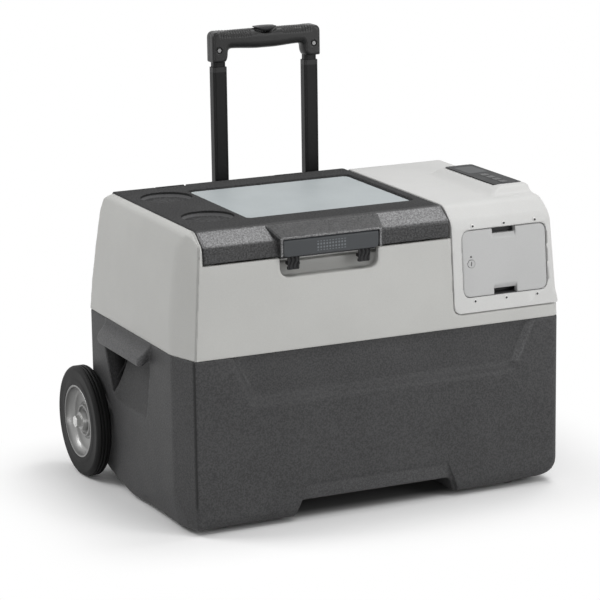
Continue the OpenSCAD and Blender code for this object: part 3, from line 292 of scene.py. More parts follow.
@dataclass
class Skin:
    """Turns a form into a mesh: one point in each grid cell that the surface crosses.

    Flat areas are joined into single faces, tile by tile, because one very large face is slow
    to join.
    """

    step: float
    hold: float = 0.05
    nudge: float = 0.02
    flat: float = 0.5
    bend: float = 0.15
    tile: int = 12
    margin: float = 1.63
    tries: int = 5
    damp: float = 0.7

    def mesh(self, name: str, form: Form, box: Box) -> bpy.types.Mesh:
        """Skins a form.

        Args:
            name: Name of the mesh.
            form: The solid.
            box: Where it is.

        Returns:
            A closed mesh in metres, its flat areas joined into single faces.
        """
        points, parts = self.contour(form, box)
        mesh = bpy.data.meshes.new(name)
        faces = [face for part in parts for face in part.tolist()]
        mesh.from_pydata((points * MM + np.array(ORIGIN)).tolist(), [], faces)
        shape = bmesh.new()
        shape.from_mesh(mesh)
        middles = np.concatenate([points[part].mean(1) for part in parts])
        tiles = np.floor(middles / (self.tile * self.step)).astype(int)
        for face, mark in zip(shape.faces, (tiles @ (73, 151, 283)) % 32000):
            face.material_index = mark
        bmesh.ops.dissolve_limit(
            shape, angle_limit=math.radians(self.flat), verts=shape.verts, edges=shape.edges,
            delimit={"MATERIAL"},
        )
        for face in shape.faces:
            face.material_index = 0
        shape.to_mesh(mesh)
        shape.free()
        mesh.shade_smooth()
        return mesh

    def contour(self, form: Form, box: Box) -> tuple[Array, list[Array]]:
        """Finds the surface of a form on a grid.

        Args:
            form: The solid.
            box: Where it is.

        Returns:
            Points in millimetres, and the faces' point numbers, seen anticlockwise from outside.
        """
        around = box.grown(self.margin * self.step)
        axes = [np.arange(a, b + self.step, self.step) for a, b in zip(around.lo, around.hi)]
        shape = tuple(len(a) for a in axes)
        values = np.broadcast_to(form(*np.meshgrid(*axes, indexing="ij", sparse=True)), shape)
        spots, normals, cells = [], [], []
        for k in range(3):
            low = [slice(None)] * 3
            high = [slice(None)] * 3
            low[k], high[k] = slice(None, -1), slice(1, None)
            index = np.argwhere((values[tuple(low)] < 0) != (values[tuple(high)] < 0))
            spot = self.crossing(form, axes, values, index, k)
            spots.append(spot)
            normals.append(self.normal(form, spot))
            ring = np.repeat(index[:, None, :], 4, axis=1)
            ring[:, (1, 2), (k + 1) % 3] -= 1
            ring[:, (2, 3), (k + 2) % 3] -= 1
            back = values[tuple(index.T)] >= 0
            ring[back] = ring[back][:, ::-1]
            cells.append(np.ravel_multi_index(tuple(np.moveaxis(ring, -1, 0)), shape))
        numbers, quads = np.unique(np.concatenate(cells), return_inverse=True)
        quads = quads.reshape(-1, 4)
        spots, normals = np.concatenate(spots), np.concatenate(normals)
        points = self.settle(spots, normals, quads, len(numbers))
        corner = np.stack(np.unravel_index(numbers, shape), 1) * self.step + [a[0] for a in axes]
        points = np.clip(points, corner, corner + self.step)
        return points, self.split(points, quads, spots, normals)

    def split(self, points: Array, quads: Array, spots: Array, normals: Array) -> list[Array]:
        """Splits the faces that bend over an edge of the form, along that edge.

        Args:
            points: All points.
            quads: Faces of four point numbers.
            spots: Where the form's surface goes through each face.
            normals: Its normals there.

        Returns:
            The faces that are flat, and the two halves of the others.
        """
        off = np.abs(np.einsum("qkc,qc->qk", points[quads] - spots[:, None], normals))
        turned = np.take_along_axis(quads, (off.argmax(1)[:, None] + np.arange(4)) % 4, 1)
        bent = off.max(1) > self.bend * self.step
        return [quads[~bent], turned[bent][:, [0, 1, 3]], turned[bent][:, 1:]]

    def crossing(
        self, form: Form, axes: list[Array], values: Array, index: Array, k: int
    ) -> Array:
        """Places where the surface crosses the grid lines of one direction.

        Args:
            form: The solid.
            axes: The grid's coordinates.
            values: The distances on the grid.
            index: The lower grid point of each crossed line.
            k: The direction.

        Returns:
            One point for each crossed line.
        """
        start = np.stack([axes[n][index[:, n]] for n in range(3)], 1)
        above = index.copy()
        above[:, k] += 1
        a, b = np.zeros(len(index)), np.ones(len(index))
        fa, fb = values[tuple(index.T)], values[tuple(above.T)]
        spot = start.copy()
        for _ in range(self.tries):
            t = np.clip((a * fb - b * fa) / (fb - fa), 0.0, 1.0)
            spot[:, k] = start[:, k] + t * self.step
            ft = form(*spot.T)
            same = (ft < 0) == (fa < 0)
            a, fa = np.where(same, t, a), np.where(same, ft, fa * self.damp)
            b, fb = np.where(same, b, t), np.where(same, fb * self.damp, ft)
        return spot

    def normal(self, form: Form, spot: Array) -> Array:
        """Outward directions of the surface at some points of it.

        Args:
            form: The solid.
            spot: The points.

        Returns:
            One unit direction for each point.
        """
        slope = np.zeros_like(spot)
        for k in range(3):
            move = np.zeros(3)
            move[k] = self.nudge
            slope[:, k] = form(*(spot + move).T) - form(*(spot - move).T)
        return slope / np.maximum(np.linalg.norm(slope, axis=1, keepdims=True), 1e-12)

    def settle(self, spot: Array, normal: Array, quads: Array, count: int) -> Array:
        """Puts each cell's point where the planes through its crossings meet, so edges stay crisp.

        Args:
            spot: The crossings.
            normal: The surface's direction at each crossing.
            quads: The four cells round each crossing.
            count: Number of cells.

        Returns:
            One point for each cell.
        """
        cell = quads.ravel()
        spot, normal = np.repeat(spot, 4, axis=0), np.repeat(normal, 4, axis=0)

        def total(weight: Array) -> Array:
            """Sum over each cell's crossings."""
            return np.bincount(cell, weights=weight, minlength=count)

        number = total(np.ones(len(cell)))
        mean = np.stack([total(spot[:, k]) / number for k in range(3)], 1)
        reach = np.einsum("ij,ij->i", normal, spot - mean[cell])
        pull = np.stack([total(normal[:, k] * reach) for k in range(3)], 1)
        spread = np.empty((count, 3, 3))
        for i in range(3):
            for j in range(3):
                spread[:, i, j] = total(normal[:, i] * normal[:, j])
        spread += np.eye(3) * self.hold
        return mean + np.linalg.solve(spread, pull[..., None])[..., 0]


class Wire:
    """A shader socket. Sums, products and comparisons of wires add Math nodes."""

    def __init__(self, shade: "Shade", socket: bpy.types.NodeSocket) -> None:
        """Keeps the socket and the node tree that it is in."""
        self.shade = shade
        self.socket = socket

    def maths(self, operation: str, first: "Wire | float", second: "Wire | float" = 0.0) -> "Wire":
        """Adds a Math node."""
        return self.shade.node("Math", {"operation": operation}, in0=first, in1=second)

    def __add__(self, other: "Wire | float") -> "Wire":
        """Sum."""
        return self.maths("ADD", self, other)

    def __sub__(self, other: "Wire | float") -> "Wire":
        """Difference."""
        return self.maths("SUBTRACT", self, other)

    def __rsub__(self, other: float) -> "Wire":
        """Difference, number first."""
        return self.maths("SUBTRACT", other, self)

    def __mul__(self, other: "Wire | float") -> "Wire":
        """Product."""
        return self.maths("MULTIPLY", self, other)

    def __rmul__(self, other: float) -> "Wire":
        """Product, number first."""
        return self.maths("MULTIPLY", other, self)

    def __lt__(self, other: "Wire | float") -> "Wire":
        """1 where this is less."""
        return self.maths("LESS_THAN", self, other)

    def __gt__(self, other: "Wire | float") -> "Wire":
        """1 where this is more."""
        return self.maths("GREATER_THAN", self, other)

    def __abs__(self) -> "Wire":
        """Size without sign."""
        return self.maths("ABSOLUTE", self)

    def swing(self) -> "Wire":
        """Sine."""
        return self.maths("SINE", self)

    def length(self, other: "Wire") -> "Wire":
        """Length of the diagonal over this and the other."""
        return self.maths("SQRT", self * self + other * other)

    def least(self, floor: float) -> "Wire":
        """This, or the given number where this is less."""
        return self.maths("MAXIMUM", self, floor)

    def rise(self, start: float, end: float) -> "Wire":
        """Goes smoothly from 0 where this is start to 1 where it is end."""
        settings = {"interpolation_type": "SMOOTHSTEP"}
        return self.shade.node("MapRange", settings, Value=self, From_Min=start, From_Max=end)

    def band(self, start: float, full: float, fade: float, end: float) -> "Wire":
        """1 where this is between full and fade, going to 0 at start and end."""
        return self.rise(start, full) * (1.0 - self.rise(fade, end))


class Shade:
    """A material's node tree while it is made."""

    def __init__(self, name: str) -> None:
        """Starts an empty tree.

        Args:
            name: Name of the finish.
        """
        self.material = bpy.data.materials.new(f"{name}_finish")
        self.material.use_nodes = True
        self.tree = self.material.node_tree
        self.tree.nodes.clear()

    def node(
        self, kind: str, settings: dict | None = None, out: int | str = 0, **sockets: object
    ) -> Wire:
        """Adds a node.

        Args:
            kind: The node's type, without its ShaderNode prefix.
            settings: The node's own settings.
            out: Number or name of the output to go on from.
            **sockets: Values or wires by socket name, with _ for a space, or by number as in0.

        Returns:
            The chosen output.
        """
        made = self.tree.nodes.new("ShaderNode" + kind)
        for key, value in (settings or {}).items():
            setattr(made, key, value)
        for key, value in sockets.items():
            numbered = key.startswith("in") and key[2:].isdigit()
            socket = made.inputs[int(key[2:]) if numbered else key.replace("_", " ")]
            if isinstance(value, Wire):
                self.tree.links.new(value.socket, socket)
            elif isinstance(value, tuple) and socket.type == "RGBA":
                socket.default_value = (*value[:3], 1.0)
            else:
                socket.default_value = value
        return Wire(self, made.outputs[out])

    def vector(self, operation: str, **sockets: object) -> Wire:
        """Adds a Vector Math node."""
        return self.node("VectorMath", {"operation": operation}, **sockets)

    def mix(self, share: Wire | float, first: "Wire | Triple", second: "Wire | Triple") -> Wire:
        """Goes from one colour to another."""
        settings = {"data_type": "RGBA"}
        return self.node("Mix", settings, 2, in0=share, in6=first, in7=second)

    def place(self) -> Wire:
        """Position on the piece, in metres of the shared frame."""
        return self.node("TexCoord", out="Object")

    def axes(self) -> tuple[Wire, Wire, Wire]:
        """Position in millimetres of the box's own frame.

        Returns:
            The three coordinates.
        """
        moved = self.vector("SUBTRACT", in0=self.place(), in1=tuple(ORIGIN))
        first = self.node("SeparateXYZ", Vector=self.vector("SCALE", in0=moved, Scale=1.0 / MM))
        outputs = first.socket.node.outputs
        return tuple(Wire(self, outputs[k]) for k in range(3))

    def noise(self, size: float, detail: float = 2.0, stretch: Triple = (1.0, 1.0, 1.0)) -> Wire:
        """Cloudy variation around 0.5.

        Args:
            size: Size of a cloud in millimetres.
            detail: Number of finer layers.
            stretch: How many times longer the clouds are along each axis.

        Returns:
            The variation.
        """
        at = self.place()
        if stretch != (1.0, 1.0, 1.0):
            squeeze = tuple(1.0 / s for s in stretch)
            at = self.vector("MULTIPLY", in0=at, in1=squeeze)
        return self.node("TexNoise", Vector=at, Scale=1.0 / (size * MM), Detail=detail)

    def pebbles(self, size: float) -> Wire:
        """Round grains of a size in millimetres, 0 at their middles."""
        sockets = {"Vector": self.place(), "Scale": 1.0 / (size * MM), "Smoothness": 0.4}
        return self.node("TexVoronoi", {"feature": "SMOOTH_F1"}, **sockets)

    def bump(self, height: Wire, depth: float) -> Wire:
        """Direction of a surface with fine relief of a depth in millimetres."""
        return self.node("Bump", Strength=1.0, Distance=depth * MM, Height=height)

    def close(self, shader: Wire) -> bpy.types.Material:
        """Ends the tree with a shader.

        Args:
            shader: What the surface looks like.

        Returns:
            The finished material.
        """
        output = self.tree.nodes.new("ShaderNodeOutputMaterial")
        self.tree.links.new(shader.socket, output.inputs["Surface"])
        return self.material


@dataclass(frozen=True)
class PaintedLightZone:
    """A place on a moulding with painted light: darker with painted shade or paler with a painted
    highlight, in millimetres.
    """

    box: Box
    axis: Axis
    change: Pair
    factor: float
    both_ends: bool = False
    lean: float = 0.0
    soft: float = 2.0

    def share(self, shade: Shade) -> Wire:
        """How far the zone has changed.

        Args:
            shade: The tree of the finish.

        Returns:
            0 outside the zone, and 1 at the end of its change along its axis.
        """
        x, y, z = shade.axes()
        x = abs(x) if self.both_ends else x
        at = (x - (z - self.box.hi[2]) * self.lean if self.lean else x, y, z)
        share, soft = at[self.axis.value].rise(*self.change), self.soft
        for wire, low, high in zip(at, self.box.lo, self.box.hi):
            share = share * wire.band(low - soft, low + soft, high - soft, high + soft)
        return share


@dataclass(frozen=True)
class Finish:
    """A surface: its colour, gloss, grain and wear, and zones of painted shade and painted
    highlights. Sizes are in millimetres.
    """

    name: str
    slot: str
    colour: Triple
    rough: float = 0.5
    grain: float = 1.5
    depth: float = 0.05
    mottle: float = 0.06
    specular: float = 0.5
    metallic: float = 0.0
    fleck: float = 0.02
    painted_light_zones: tuple[PaintedLightZone, ...] = ()
    cloud: float = 90.0
    clearing: Pair = (0.3, 0.7)
    marks: Pair = (35.0, 0.12)

    @functools.cache
    def material(self) -> bpy.types.Material:
        """The finish as a material, made once."""
        return self.made(Shade(self.name))

    def made(self, shade: Shade) -> bpy.types.Material:
        """Builds the node tree.

        Args:
            shade: An empty tree.

        Returns:
            The finished material.
        """
        relief = self.relief(shade)
        settings = {
            "Base_Color": self.tone(shade),
            "Roughness": self.gloss(shade),
            "Normal": shade.bump(relief, self.depth),
            "Metallic": self.metallic,
            "Specular_IOR_Level": self.specular,
        }
        return shade.close(shade.node("BsdfPrincipled", **settings))

    def relief(self, shade: Shade) -> Wire:
        """Fine surface relief: grains with a little unevenness."""
        return shade.pebbles(self.grain) * 0.8 + shade.noise(self.grain * 6.0) * 0.4

    def tone(self, shade: Shade) -> Wire:
        """Colour with slow and fine variation, and the painted shade and highlights of its zones.

        Args:
            shade: The tree of the finish.

        Returns:
            The colour.
        """
        slow = shade.noise(self.cloud, 3.0).rise(*self.clearing)
        fine = shade.noise(self.grain, 2.0).rise(*self.clearing)
        most = self.mottle + self.fleck
        share = (slow * self.mottle + fine * self.fleck) * (1.0 / most)
        low, high = 1.0 - most, 1.0 + most
        colour = shade.mix(share, self.tinted(low), self.tinted(high))
        for zone in self.painted_light_zones:
            ends = self.tinted(low * zone.factor), self.tinted(high * zone.factor)
            colour = shade.mix(zone.share(shade), colour, shade.mix(share, *ends))
        return colour

    def gloss(self, shade: Shade) -> Wire:
        """Roughness with faint handling marks."""
        size, change = self.marks
        return shade.noise(size, 4.0) * change + (self.rough - change / 2)

    def tinted(self, factor: float) -> Triple:
        """The colour made lighter or darker."""
        return tuple(min(c * factor, 1.0) for c in self.colour)


@dataclass(frozen=True)
class Brushed(Finish):
    """Drawn or brushed metal, with fine streaks along one axis."""

    along: Axis = Axis.Z

    def relief(self, shade: Shade) -> Wire:
        """Long fine streaks."""
        stretch = tuple(60.0 if axis is self.along else 1.0 for axis in Axis)
        return shade.noise(self.grain, 2.0, stretch)


@dataclass(frozen=True)
class Cellular(Finish):
    """Cut or poured foam with open cells."""

    def relief(self, shade: Shade) -> Wire:
        """Pits of two sizes."""
        return shade.pebbles(self.grain) + shade.pebbles(self.grain * 2.7) * 0.6


@dataclass(frozen=True)
class Creased(Finish):
    """Moulded plastic with a fine upright groove beside its front left corner, the groove in
    painted shade.
    """

    line: Pair = (0.0, 0.0)
    groove: Pair = (0.6, 1.8)
    painted_shade: float = 0.8
    front: float = -150.0
    fade: Pair = (32.0, 46.0)
    foot: float = SEAM

    def crease(self, shade: Shade) -> Wire:
        """The groove, which may lean in from its foot upwards.

        Args:
            shade: The tree of the finish.

        Returns:
            1 in the groove.
        """
        x, y, z = shade.axes()
        off = abs(x - self.line[0] - (z - self.foot) * self.line[1])
        return (1.0 - off.rise(*self.groove)) * (y < self.front) * z.rise(*self.fade)

    def relief(self, shade: Shade) -> Wire:
        """Grain with the groove in it."""
        return super().relief(shade) - self.crease(shade) * (0.5 / self.depth)

    def tone(self, shade: Shade) -> Wire:
        """Colour, with painted shade in the groove."""
        return shade.mix(self.crease(shade) * self.painted_shade, super().tone(shade), self.tinted(0.25))


@dataclass(frozen=True)
class Handled(Finish):
    """Grained plastic, rubbed along the front edge, where hands open it, with painted shade and a
    painted highlight in its cups.
    """

    rubbed: Pair = (-148.0, -160.0)
    smooth: float = 0.34
    top: float = 457.0
    highlight_band: tuple[float, ...] = (3.0, 4.0, 6.6, 7.8)
    highlight_tint: float = 2.3
    shade_band: tuple[float, ...] = (0.2, 0.8, 2.6, 3.4)
    painted_shade: float = 0.13
    rim: float = 1.5

    def gloss(self, shade: Shade) -> Wire:
        """Roughness, lower on the rubbed front."""
        _, y, _ = shade.axes()
        return super().gloss(shade) + y.rise(*self.rubbed) * (self.smooth - self.rough)

    def tone(self, shade: Shade) -> Wire:
        """Colour, with painted shade on the cups' walls and a painted highlight in the round of
        their floors.

        Args:
            shade: The tree of the finish.

        Returns:
            The colour.
        """
        x, y, z = shade.axes()
        colour, deep = super().tone(shade), self.top - z
        highlight_band, shade_band = deep.band(*self.highlight_band), deep.band(*self.shade_band)
        for across, along in CUPS:
            inside = (x - across).length(y - along) < CUP_R + self.rim
            colour = shade.mix(highlight_band * inside, colour, self.tinted(self.highlight_tint))
            colour = shade.mix(shade_band * inside * 0.85, colour, self.tinted(self.painted_shade))
        return colour


@dataclass(frozen=True)
class Dotted(Finish):
    """Moulded plastic with a field of raised dots on its front."""

    middle: Pair = (0.0, 0.0)
    field_size: Pair = (50.0, 15.0)
    pitch: float = 5.0

    def relief(self, shade: Shade) -> Wire:
        """Grain, and the dots inside their field."""
        return self.dots(shade) * 3.0 + shade.pebbles(self.grain) * 0.3

    def tone(self, shade: Shade) -> Wire:
        """Colour, lighter on the dots."""
        return shade.mix(self.dots(shade), super().tone(shade), self.tinted(2.6))

    def dots(self, shade: Shade) -> Wire:
        """1 on the dots.

        Args:
            shade: The tree of the finish.

        Returns:
            The dots inside their field.
        """
        x, _, z = shade.axes()
        dots: Wire | float = 1.0
        for at, middle, size in zip((x, z), self.middle, self.field_size):
            off = at - middle
            dots = dots * abs((off * (math.pi / self.pitch)).swing()) * (abs(off) < size / 2)
        return dots.rise(0.35, 0.75)


@dataclass(frozen=True)
class Turned(Finish):
    """Spun metal with painted shade in the rings round its axle."""

    centre: Pair = (0.0, 0.0)
    rings: tuple[float, ...] = ()
    ring_edge: Pair = (0.5, 2.4)
    ring_shade: float = 0.75
    painted_shade: float = 0.25

    def tone(self, shade: Shade) -> Wire:
        """Colour, with painted shade in the rings.

        Args:
            shade: The tree of the finish.

        Returns:
            The colour.
        """
        colour, away = super().tone(shade), self.away(shade)
        for ring in self.rings:
            ring_shade = (1.0 - abs(away - ring).rise(*self.ring_edge)) * self.ring_shade
            colour = shade.mix(ring_shade, colour, self.tinted(self.painted_shade))
        return colour

    def relief(self, shade: Shade) -> Wire:
        """Fine turning marks."""
        turns = self.away(shade) * (2.0 * math.pi / self.grain)
        return turns.swing() * 0.5 + shade.noise(6.0) * 0.5

    def away(self, shade: Shade) -> Wire:
        """Distance from the axle in millimetres."""
        _, y, z = shade.axes()
        return (y - self.centre[0]).length(z - self.centre[1])


@dataclass(frozen=True)
class Socketed(Finish):
    """Screw heads in two rows of three, with painted shade in their sockets."""

    middle: Pair = (0.0, 0.0)
    pitch: Pair = (1.0, 1.0)
    socket: float = 1.9
    soft: float = 0.3
    painted_shade: float = 0.04

    def tone(self, shade: Shade) -> Wire:
        """Colour, with painted shade in the sockets.

        Args:
            shade: The tree of the finish.

        Returns:
            The colour.
        """
        x, _, z = shade.axes()
        across = self.pitch[0] / 2 - abs(abs(x - self.middle[0]) - self.pitch[0] / 2)
        up = abs(z - self.middle[1]) - self.pitch[1]
        inside = across.length(up).rise(self.socket + self.soft, self.socket - self.soft)
        return shade.mix(inside, super().tone(shade), self.tinted(self.painted_shade))


_wheel = Box.of("tyre_right")
FIELD_LEAN = 30.0 / 68.0
LIGHT_GREY = Creased(
    "light_grey_shell", "light_grey", (0.485, 0.485, 0.468), 0.45, 1.6, 0.02, 0.02, 0.4,
    painted_light_zones=(
        # Painted shade in the latch recess, darker the deeper it goes.
        PaintedLightZone(Box((-158.0, -190.0, 376.0), (8.0, -170.0, 412.0)), Axis.Y, (-186.0, -174.0), 0.62),
    ),
    # Painted shade in the groove beside the front left corner.
    line=(-302.5, 13.0 / LEAN_UP), painted_shade=0.3,
)
COVER_GREY = Finish("cover_grey", "light_grey", (0.6, 0.6, 0.59), 0.45, 1.6, 0.015, 0.015, 0.25)
SCREW_GREY = Socketed(
    "screw_grey", "steel", (0.72, 0.72, 0.71), 0.4, 0.6, 0.005, 0.04, 0.4,
    middle=(225.0, 366.0), pitch=(55.0, 58.5),
)
DOOR_GREY = Finish("door_grey", "door_grey", (0.47, 0.472, 0.47), 0.42, 1.6, 0.015, 0.02, 0.35)
CHARCOAL = Creased(
    "charcoal_shell", "charcoal", (0.051, 0.051, 0.052), 0.52, 2.6, 0.25, 0.06, 0.22, fleck=0.26,
    painted_light_zones=(
        # Painted shade: nearly black deep in the corner hole of each end pocket.
        PaintedLightZone(Box((260.0, -62.0, 116.0), (400.0, 142.0, 232.0)), Axis.X, (313.0, 293.0), 0.1, True),
        # Painted highlight: paler on the outer part of each grab bar.
        PaintedLightZone(Box((260.0, -90.0, 220.0), (400.0, 150.0, 275.0)), Axis.X, (321.0, 337.0), 1.8, True),
        # Painted shade: darker inside each end pocket.
        PaintedLightZone(Box((260.0, -50.0, 118.0), (400.0, 104.0, 232.0)), Axis.X, (319.5, 317.5), 0.7, True),
        # Painted highlight on the right slope of the front field.
        PaintedLightZone(
            Box((262.0, -200.0, 202.0), (277.0, -180.0, 268.0)), Axis.X, (263.0, 268.0), 1.6,
            lean=FIELD_LEAN,
        ),
        # Painted light: paler on the slanted face over the foot arch.
        PaintedLightZone(Box((-150.0, -202.0, 20.0), (150.0, -184.0, 60.0)), Axis.Y, (-197.4, -195.8), 1.4),
    ),
    # Painted shade in the groove beside the front left corner.
    line=(-304.5, 0.0),
)
LID_CHARCOAL = Handled(
    "lid_charcoal", "lid_charcoal", (0.053, 0.053, 0.054), 0.95, 2.6, 0.3, 0.08, 0.22, fleck=0.5,
    painted_light_zones=(
        # Painted highlight along the front edge of the latch housing.
        PaintedLightZone(Box((-170.0, -200.0, 405.0), (20.0, -190.0, 446.0)), Axis.Y, (-194.6, -195.8), 3.2),
        # Painted shade: darker on the lid's flat top.
        PaintedLightZone(Box((-290.0, -164.0, 450.0), (140.0, 200.0, 470.0)), Axis.Z, (454.5, 456.2), 0.68),
        # Painted highlight on the lid's front bevel, on both sides of the latch.
        PaintedLightZone(Box((-300.0, -194.0, 437.0), (-168.0, -150.0, 470.0)), Axis.Y, (-157.0, -160.0), 2.9),
        PaintedLightZone(Box((18.0, -194.0, 437.0), (150.0, -150.0, 470.0)), Axis.Y, (-157.0, -160.0), 2.9),
    ),
    smooth=0.28,
)
BOARD_GREY = Finish("board_grey", "board", (0.41, 0.445, 0.455), 0.5, 2.0, 0.03, 0.03, 0.2)
LINER_WHITE = Finish("liner_white", "liner_white", (0.78, 0.78, 0.77), 0.3, 2.0, 0.01, 0.015)
SEAL_RUBBER = Finish("seal_rubber", "seal_rubber", (0.028, 0.028, 0.028), 0.75, 0.8, 0.03, 0.1)
BLACK_PLASTIC = Finish(
    "black_plastic", "black_plastic", (0.014, 0.014, 0.015), 0.45, 1.2, 0.04, 0.12, 0.3
)
GRIP_BLACK = Finish("grip_black", "black_plastic", (0.011, 0.011, 0.011), 0.34, 1.4, 0.04, 0.1, 0.3)
TYRE_RUBBER = Finish("tyre_rubber", "tyre", (0.008, 0.008, 0.008), 0.55, 1.8, 0.05, 0.15, 0.16)
RIM_SILVER = Turned(
    "rim_silver", "rim_silver", (0.29, 0.29, 0.286), 0.34, 1.6, 0.02, 0.12, 0.5, 0.5,
    # Painted shade in these rings of the rim.
    centre=(_wheel.mid(Axis.Y), _wheel.mid(Axis.Z)), rings=(18.0, 29.5, 56.0),
)
PANEL_BLACK = Finish(
    "panel_black", "panel_black", (0.022, 0.023, 0.024), 0.4, 1.0, 0.004, 0.08, 0.05
)
DISPLAY_SMOKE = Finish(
    "display_smoke", "display", (0.06, 0.063, 0.066), 0.35, 3.0, 0.002, 0.06, 0.05
)
KEY_GREY = Finish("key_grey", "panel_black", (0.13, 0.131, 0.133), 0.5, 1.0, 0.02, 0.06, 0.05)
BOARD_GREEN = Finish("circuit_green", "board_green", (0.02, 0.16, 0.07), 0.3, 2.2, 0.05, 0.25)
CELL_BLUE = Finish("cell_wrap", "cell_blue", (0.05, 0.14, 0.42), 0.3, 4.0, 0.02, 0.06)
COMPRESSOR_BLACK = Finish(
    "compressor_paint", "compressor_black", (0.02, 0.02, 0.021), 0.35, 1.4, 0.05, 0.1
)
BAY_GREY = Finish("bay_grey", "black_plastic", (0.06, 0.06, 0.062), 0.5, 1.2, 0.03, 0.06)
FOAM = Cellular("poured_foam", "foam", (0.8, 0.7, 0.42), 0.85, 1.6, 0.4, 0.12)
TUBE_BLACK = Brushed(
    "tube_anodised", "tube_black", (0.009, 0.009, 0.009), 0.36, 0.5, 0.012, 0.1, 0.16
)
COLLAR_BLACK = Finish(
    "collar_black", "black_plastic", (0.014, 0.014, 0.014), 0.42, 1.0, 0.02, 0.08, 0.3
)
STEEL = Brushed(
    "zinc_steel", "steel", (0.6, 0.6, 0.59), 0.32, 0.4, 0.01, 0.06, 0.5, 0.9, along=Axis.X
)
DARK_STEEL = Brushed(
    "dull_steel", "dark_steel", (0.22, 0.22, 0.22), 0.4, 0.4, 0.01, 0.06, 0.3, 0.5, along=Axis.X
)
ALUMINIUM = Brushed(
    "plain_aluminium", "aluminium", (0.7, 0.71, 0.72), 0.36, 0.6, 0.012, 0.05, 0.5, 0.9
)
COPPER = Brushed(
    "copper_tube", "copper", (0.72, 0.4, 0.22), 0.3, 0.5, 0.01, 0.1, 0.5, 0.95, along=Axis.Y
)


class Assembly:
    """A group of pieces of the box, and how a piece joins the model."""

    def put(
        self, mesh: bpy.types.Mesh, finish: Finish, body: str, *nodes: str
    ) -> bpy.types.Object:
        """Adds a piece.

        Args:
            mesh: Its mesh, in place, in metres; the piece takes its name.
            finish: Its surface.
            body: The moving body that carries it.
            *nodes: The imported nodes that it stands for.

        Returns:
            The piece.
        """
        piece = bpy.data.objects.new(mesh.name, mesh)
        bpy.context.scene.collection.objects.link(piece)
        mesh.materials.append(finish.material())
        even = piece.modifiers.new("even_shading", "WEIGHTED_NORMAL")
        even.keep_sharp = True
        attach(piece, body)
        if nodes:
            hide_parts(*nodes)
        LOG.info("%s: %d faces, on %s", piece.name, len(mesh.polygons), body)
        return piece

    @staticmethod
    def drawn(name: str, points: list[Vector], faces: list[tuple[int, ...]]) -> bpy.types.Mesh:
        """Makes a mesh that is smooth but for its sharp edges.

        Args:
            name: Name of the mesh.
            points: Its points in millimetres.
            faces: The point numbers of each face.

        Returns:
            The mesh, in metres.
        """
        mesh = bpy.data.meshes.new(name)
        mesh.from_pydata([point * MM + ORIGIN for point in points], [], faces)
        mesh.shade_smooth()
        mesh.set_sharp_from_angle(angle=math.radians(SHARP_DEGREES))
        return mesh

    def mould(
        self, name: str, form: Form, box: Box, step: float, finish: Finish, body: str, *nodes: str
    ) -> bpy.types.Object:
        """Skins a form, on a grid of that step in millimetres, and adds it as a piece."""
        return self.put(Skin(step).mesh(name, form, box), finish, body, *nodes)

    def dress(self, finish: Finish, *nodes: str, edge: float = 0.6) -> None:
        """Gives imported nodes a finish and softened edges.

        Args:
            finish: Their surface.
            *nodes: Names of the nodes.
            edge: Width of the softened edges in millimetres.
        """
        for name in nodes:
            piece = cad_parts[name]
            piece.data.materials.clear()
            piece.data.materials.append(finish.material())
            weld = piece.modifiers.new("welded", "WELD")
            weld.merge_threshold = 1e-6
            flat = piece.modifiers.new("flat_faces", "DECIMATE")
            flat.decimate_type = "DISSOLVE"
            flat.angle_limit = math.radians(1.0)
            soft = piece.modifiers.new("soft_edges", "BEVEL")
            soft.width = edge * MM
            soft.segments = 2
            soft.limit_method = "ANGLE"
            soft.angle_limit = math.radians(35.0)
            soft.harden_normals = False
            piece.modifiers.new("even_shading", "WEIGHTED_NORMAL")
            LOG.info("%s: packed shape, %s", name, finish.name)


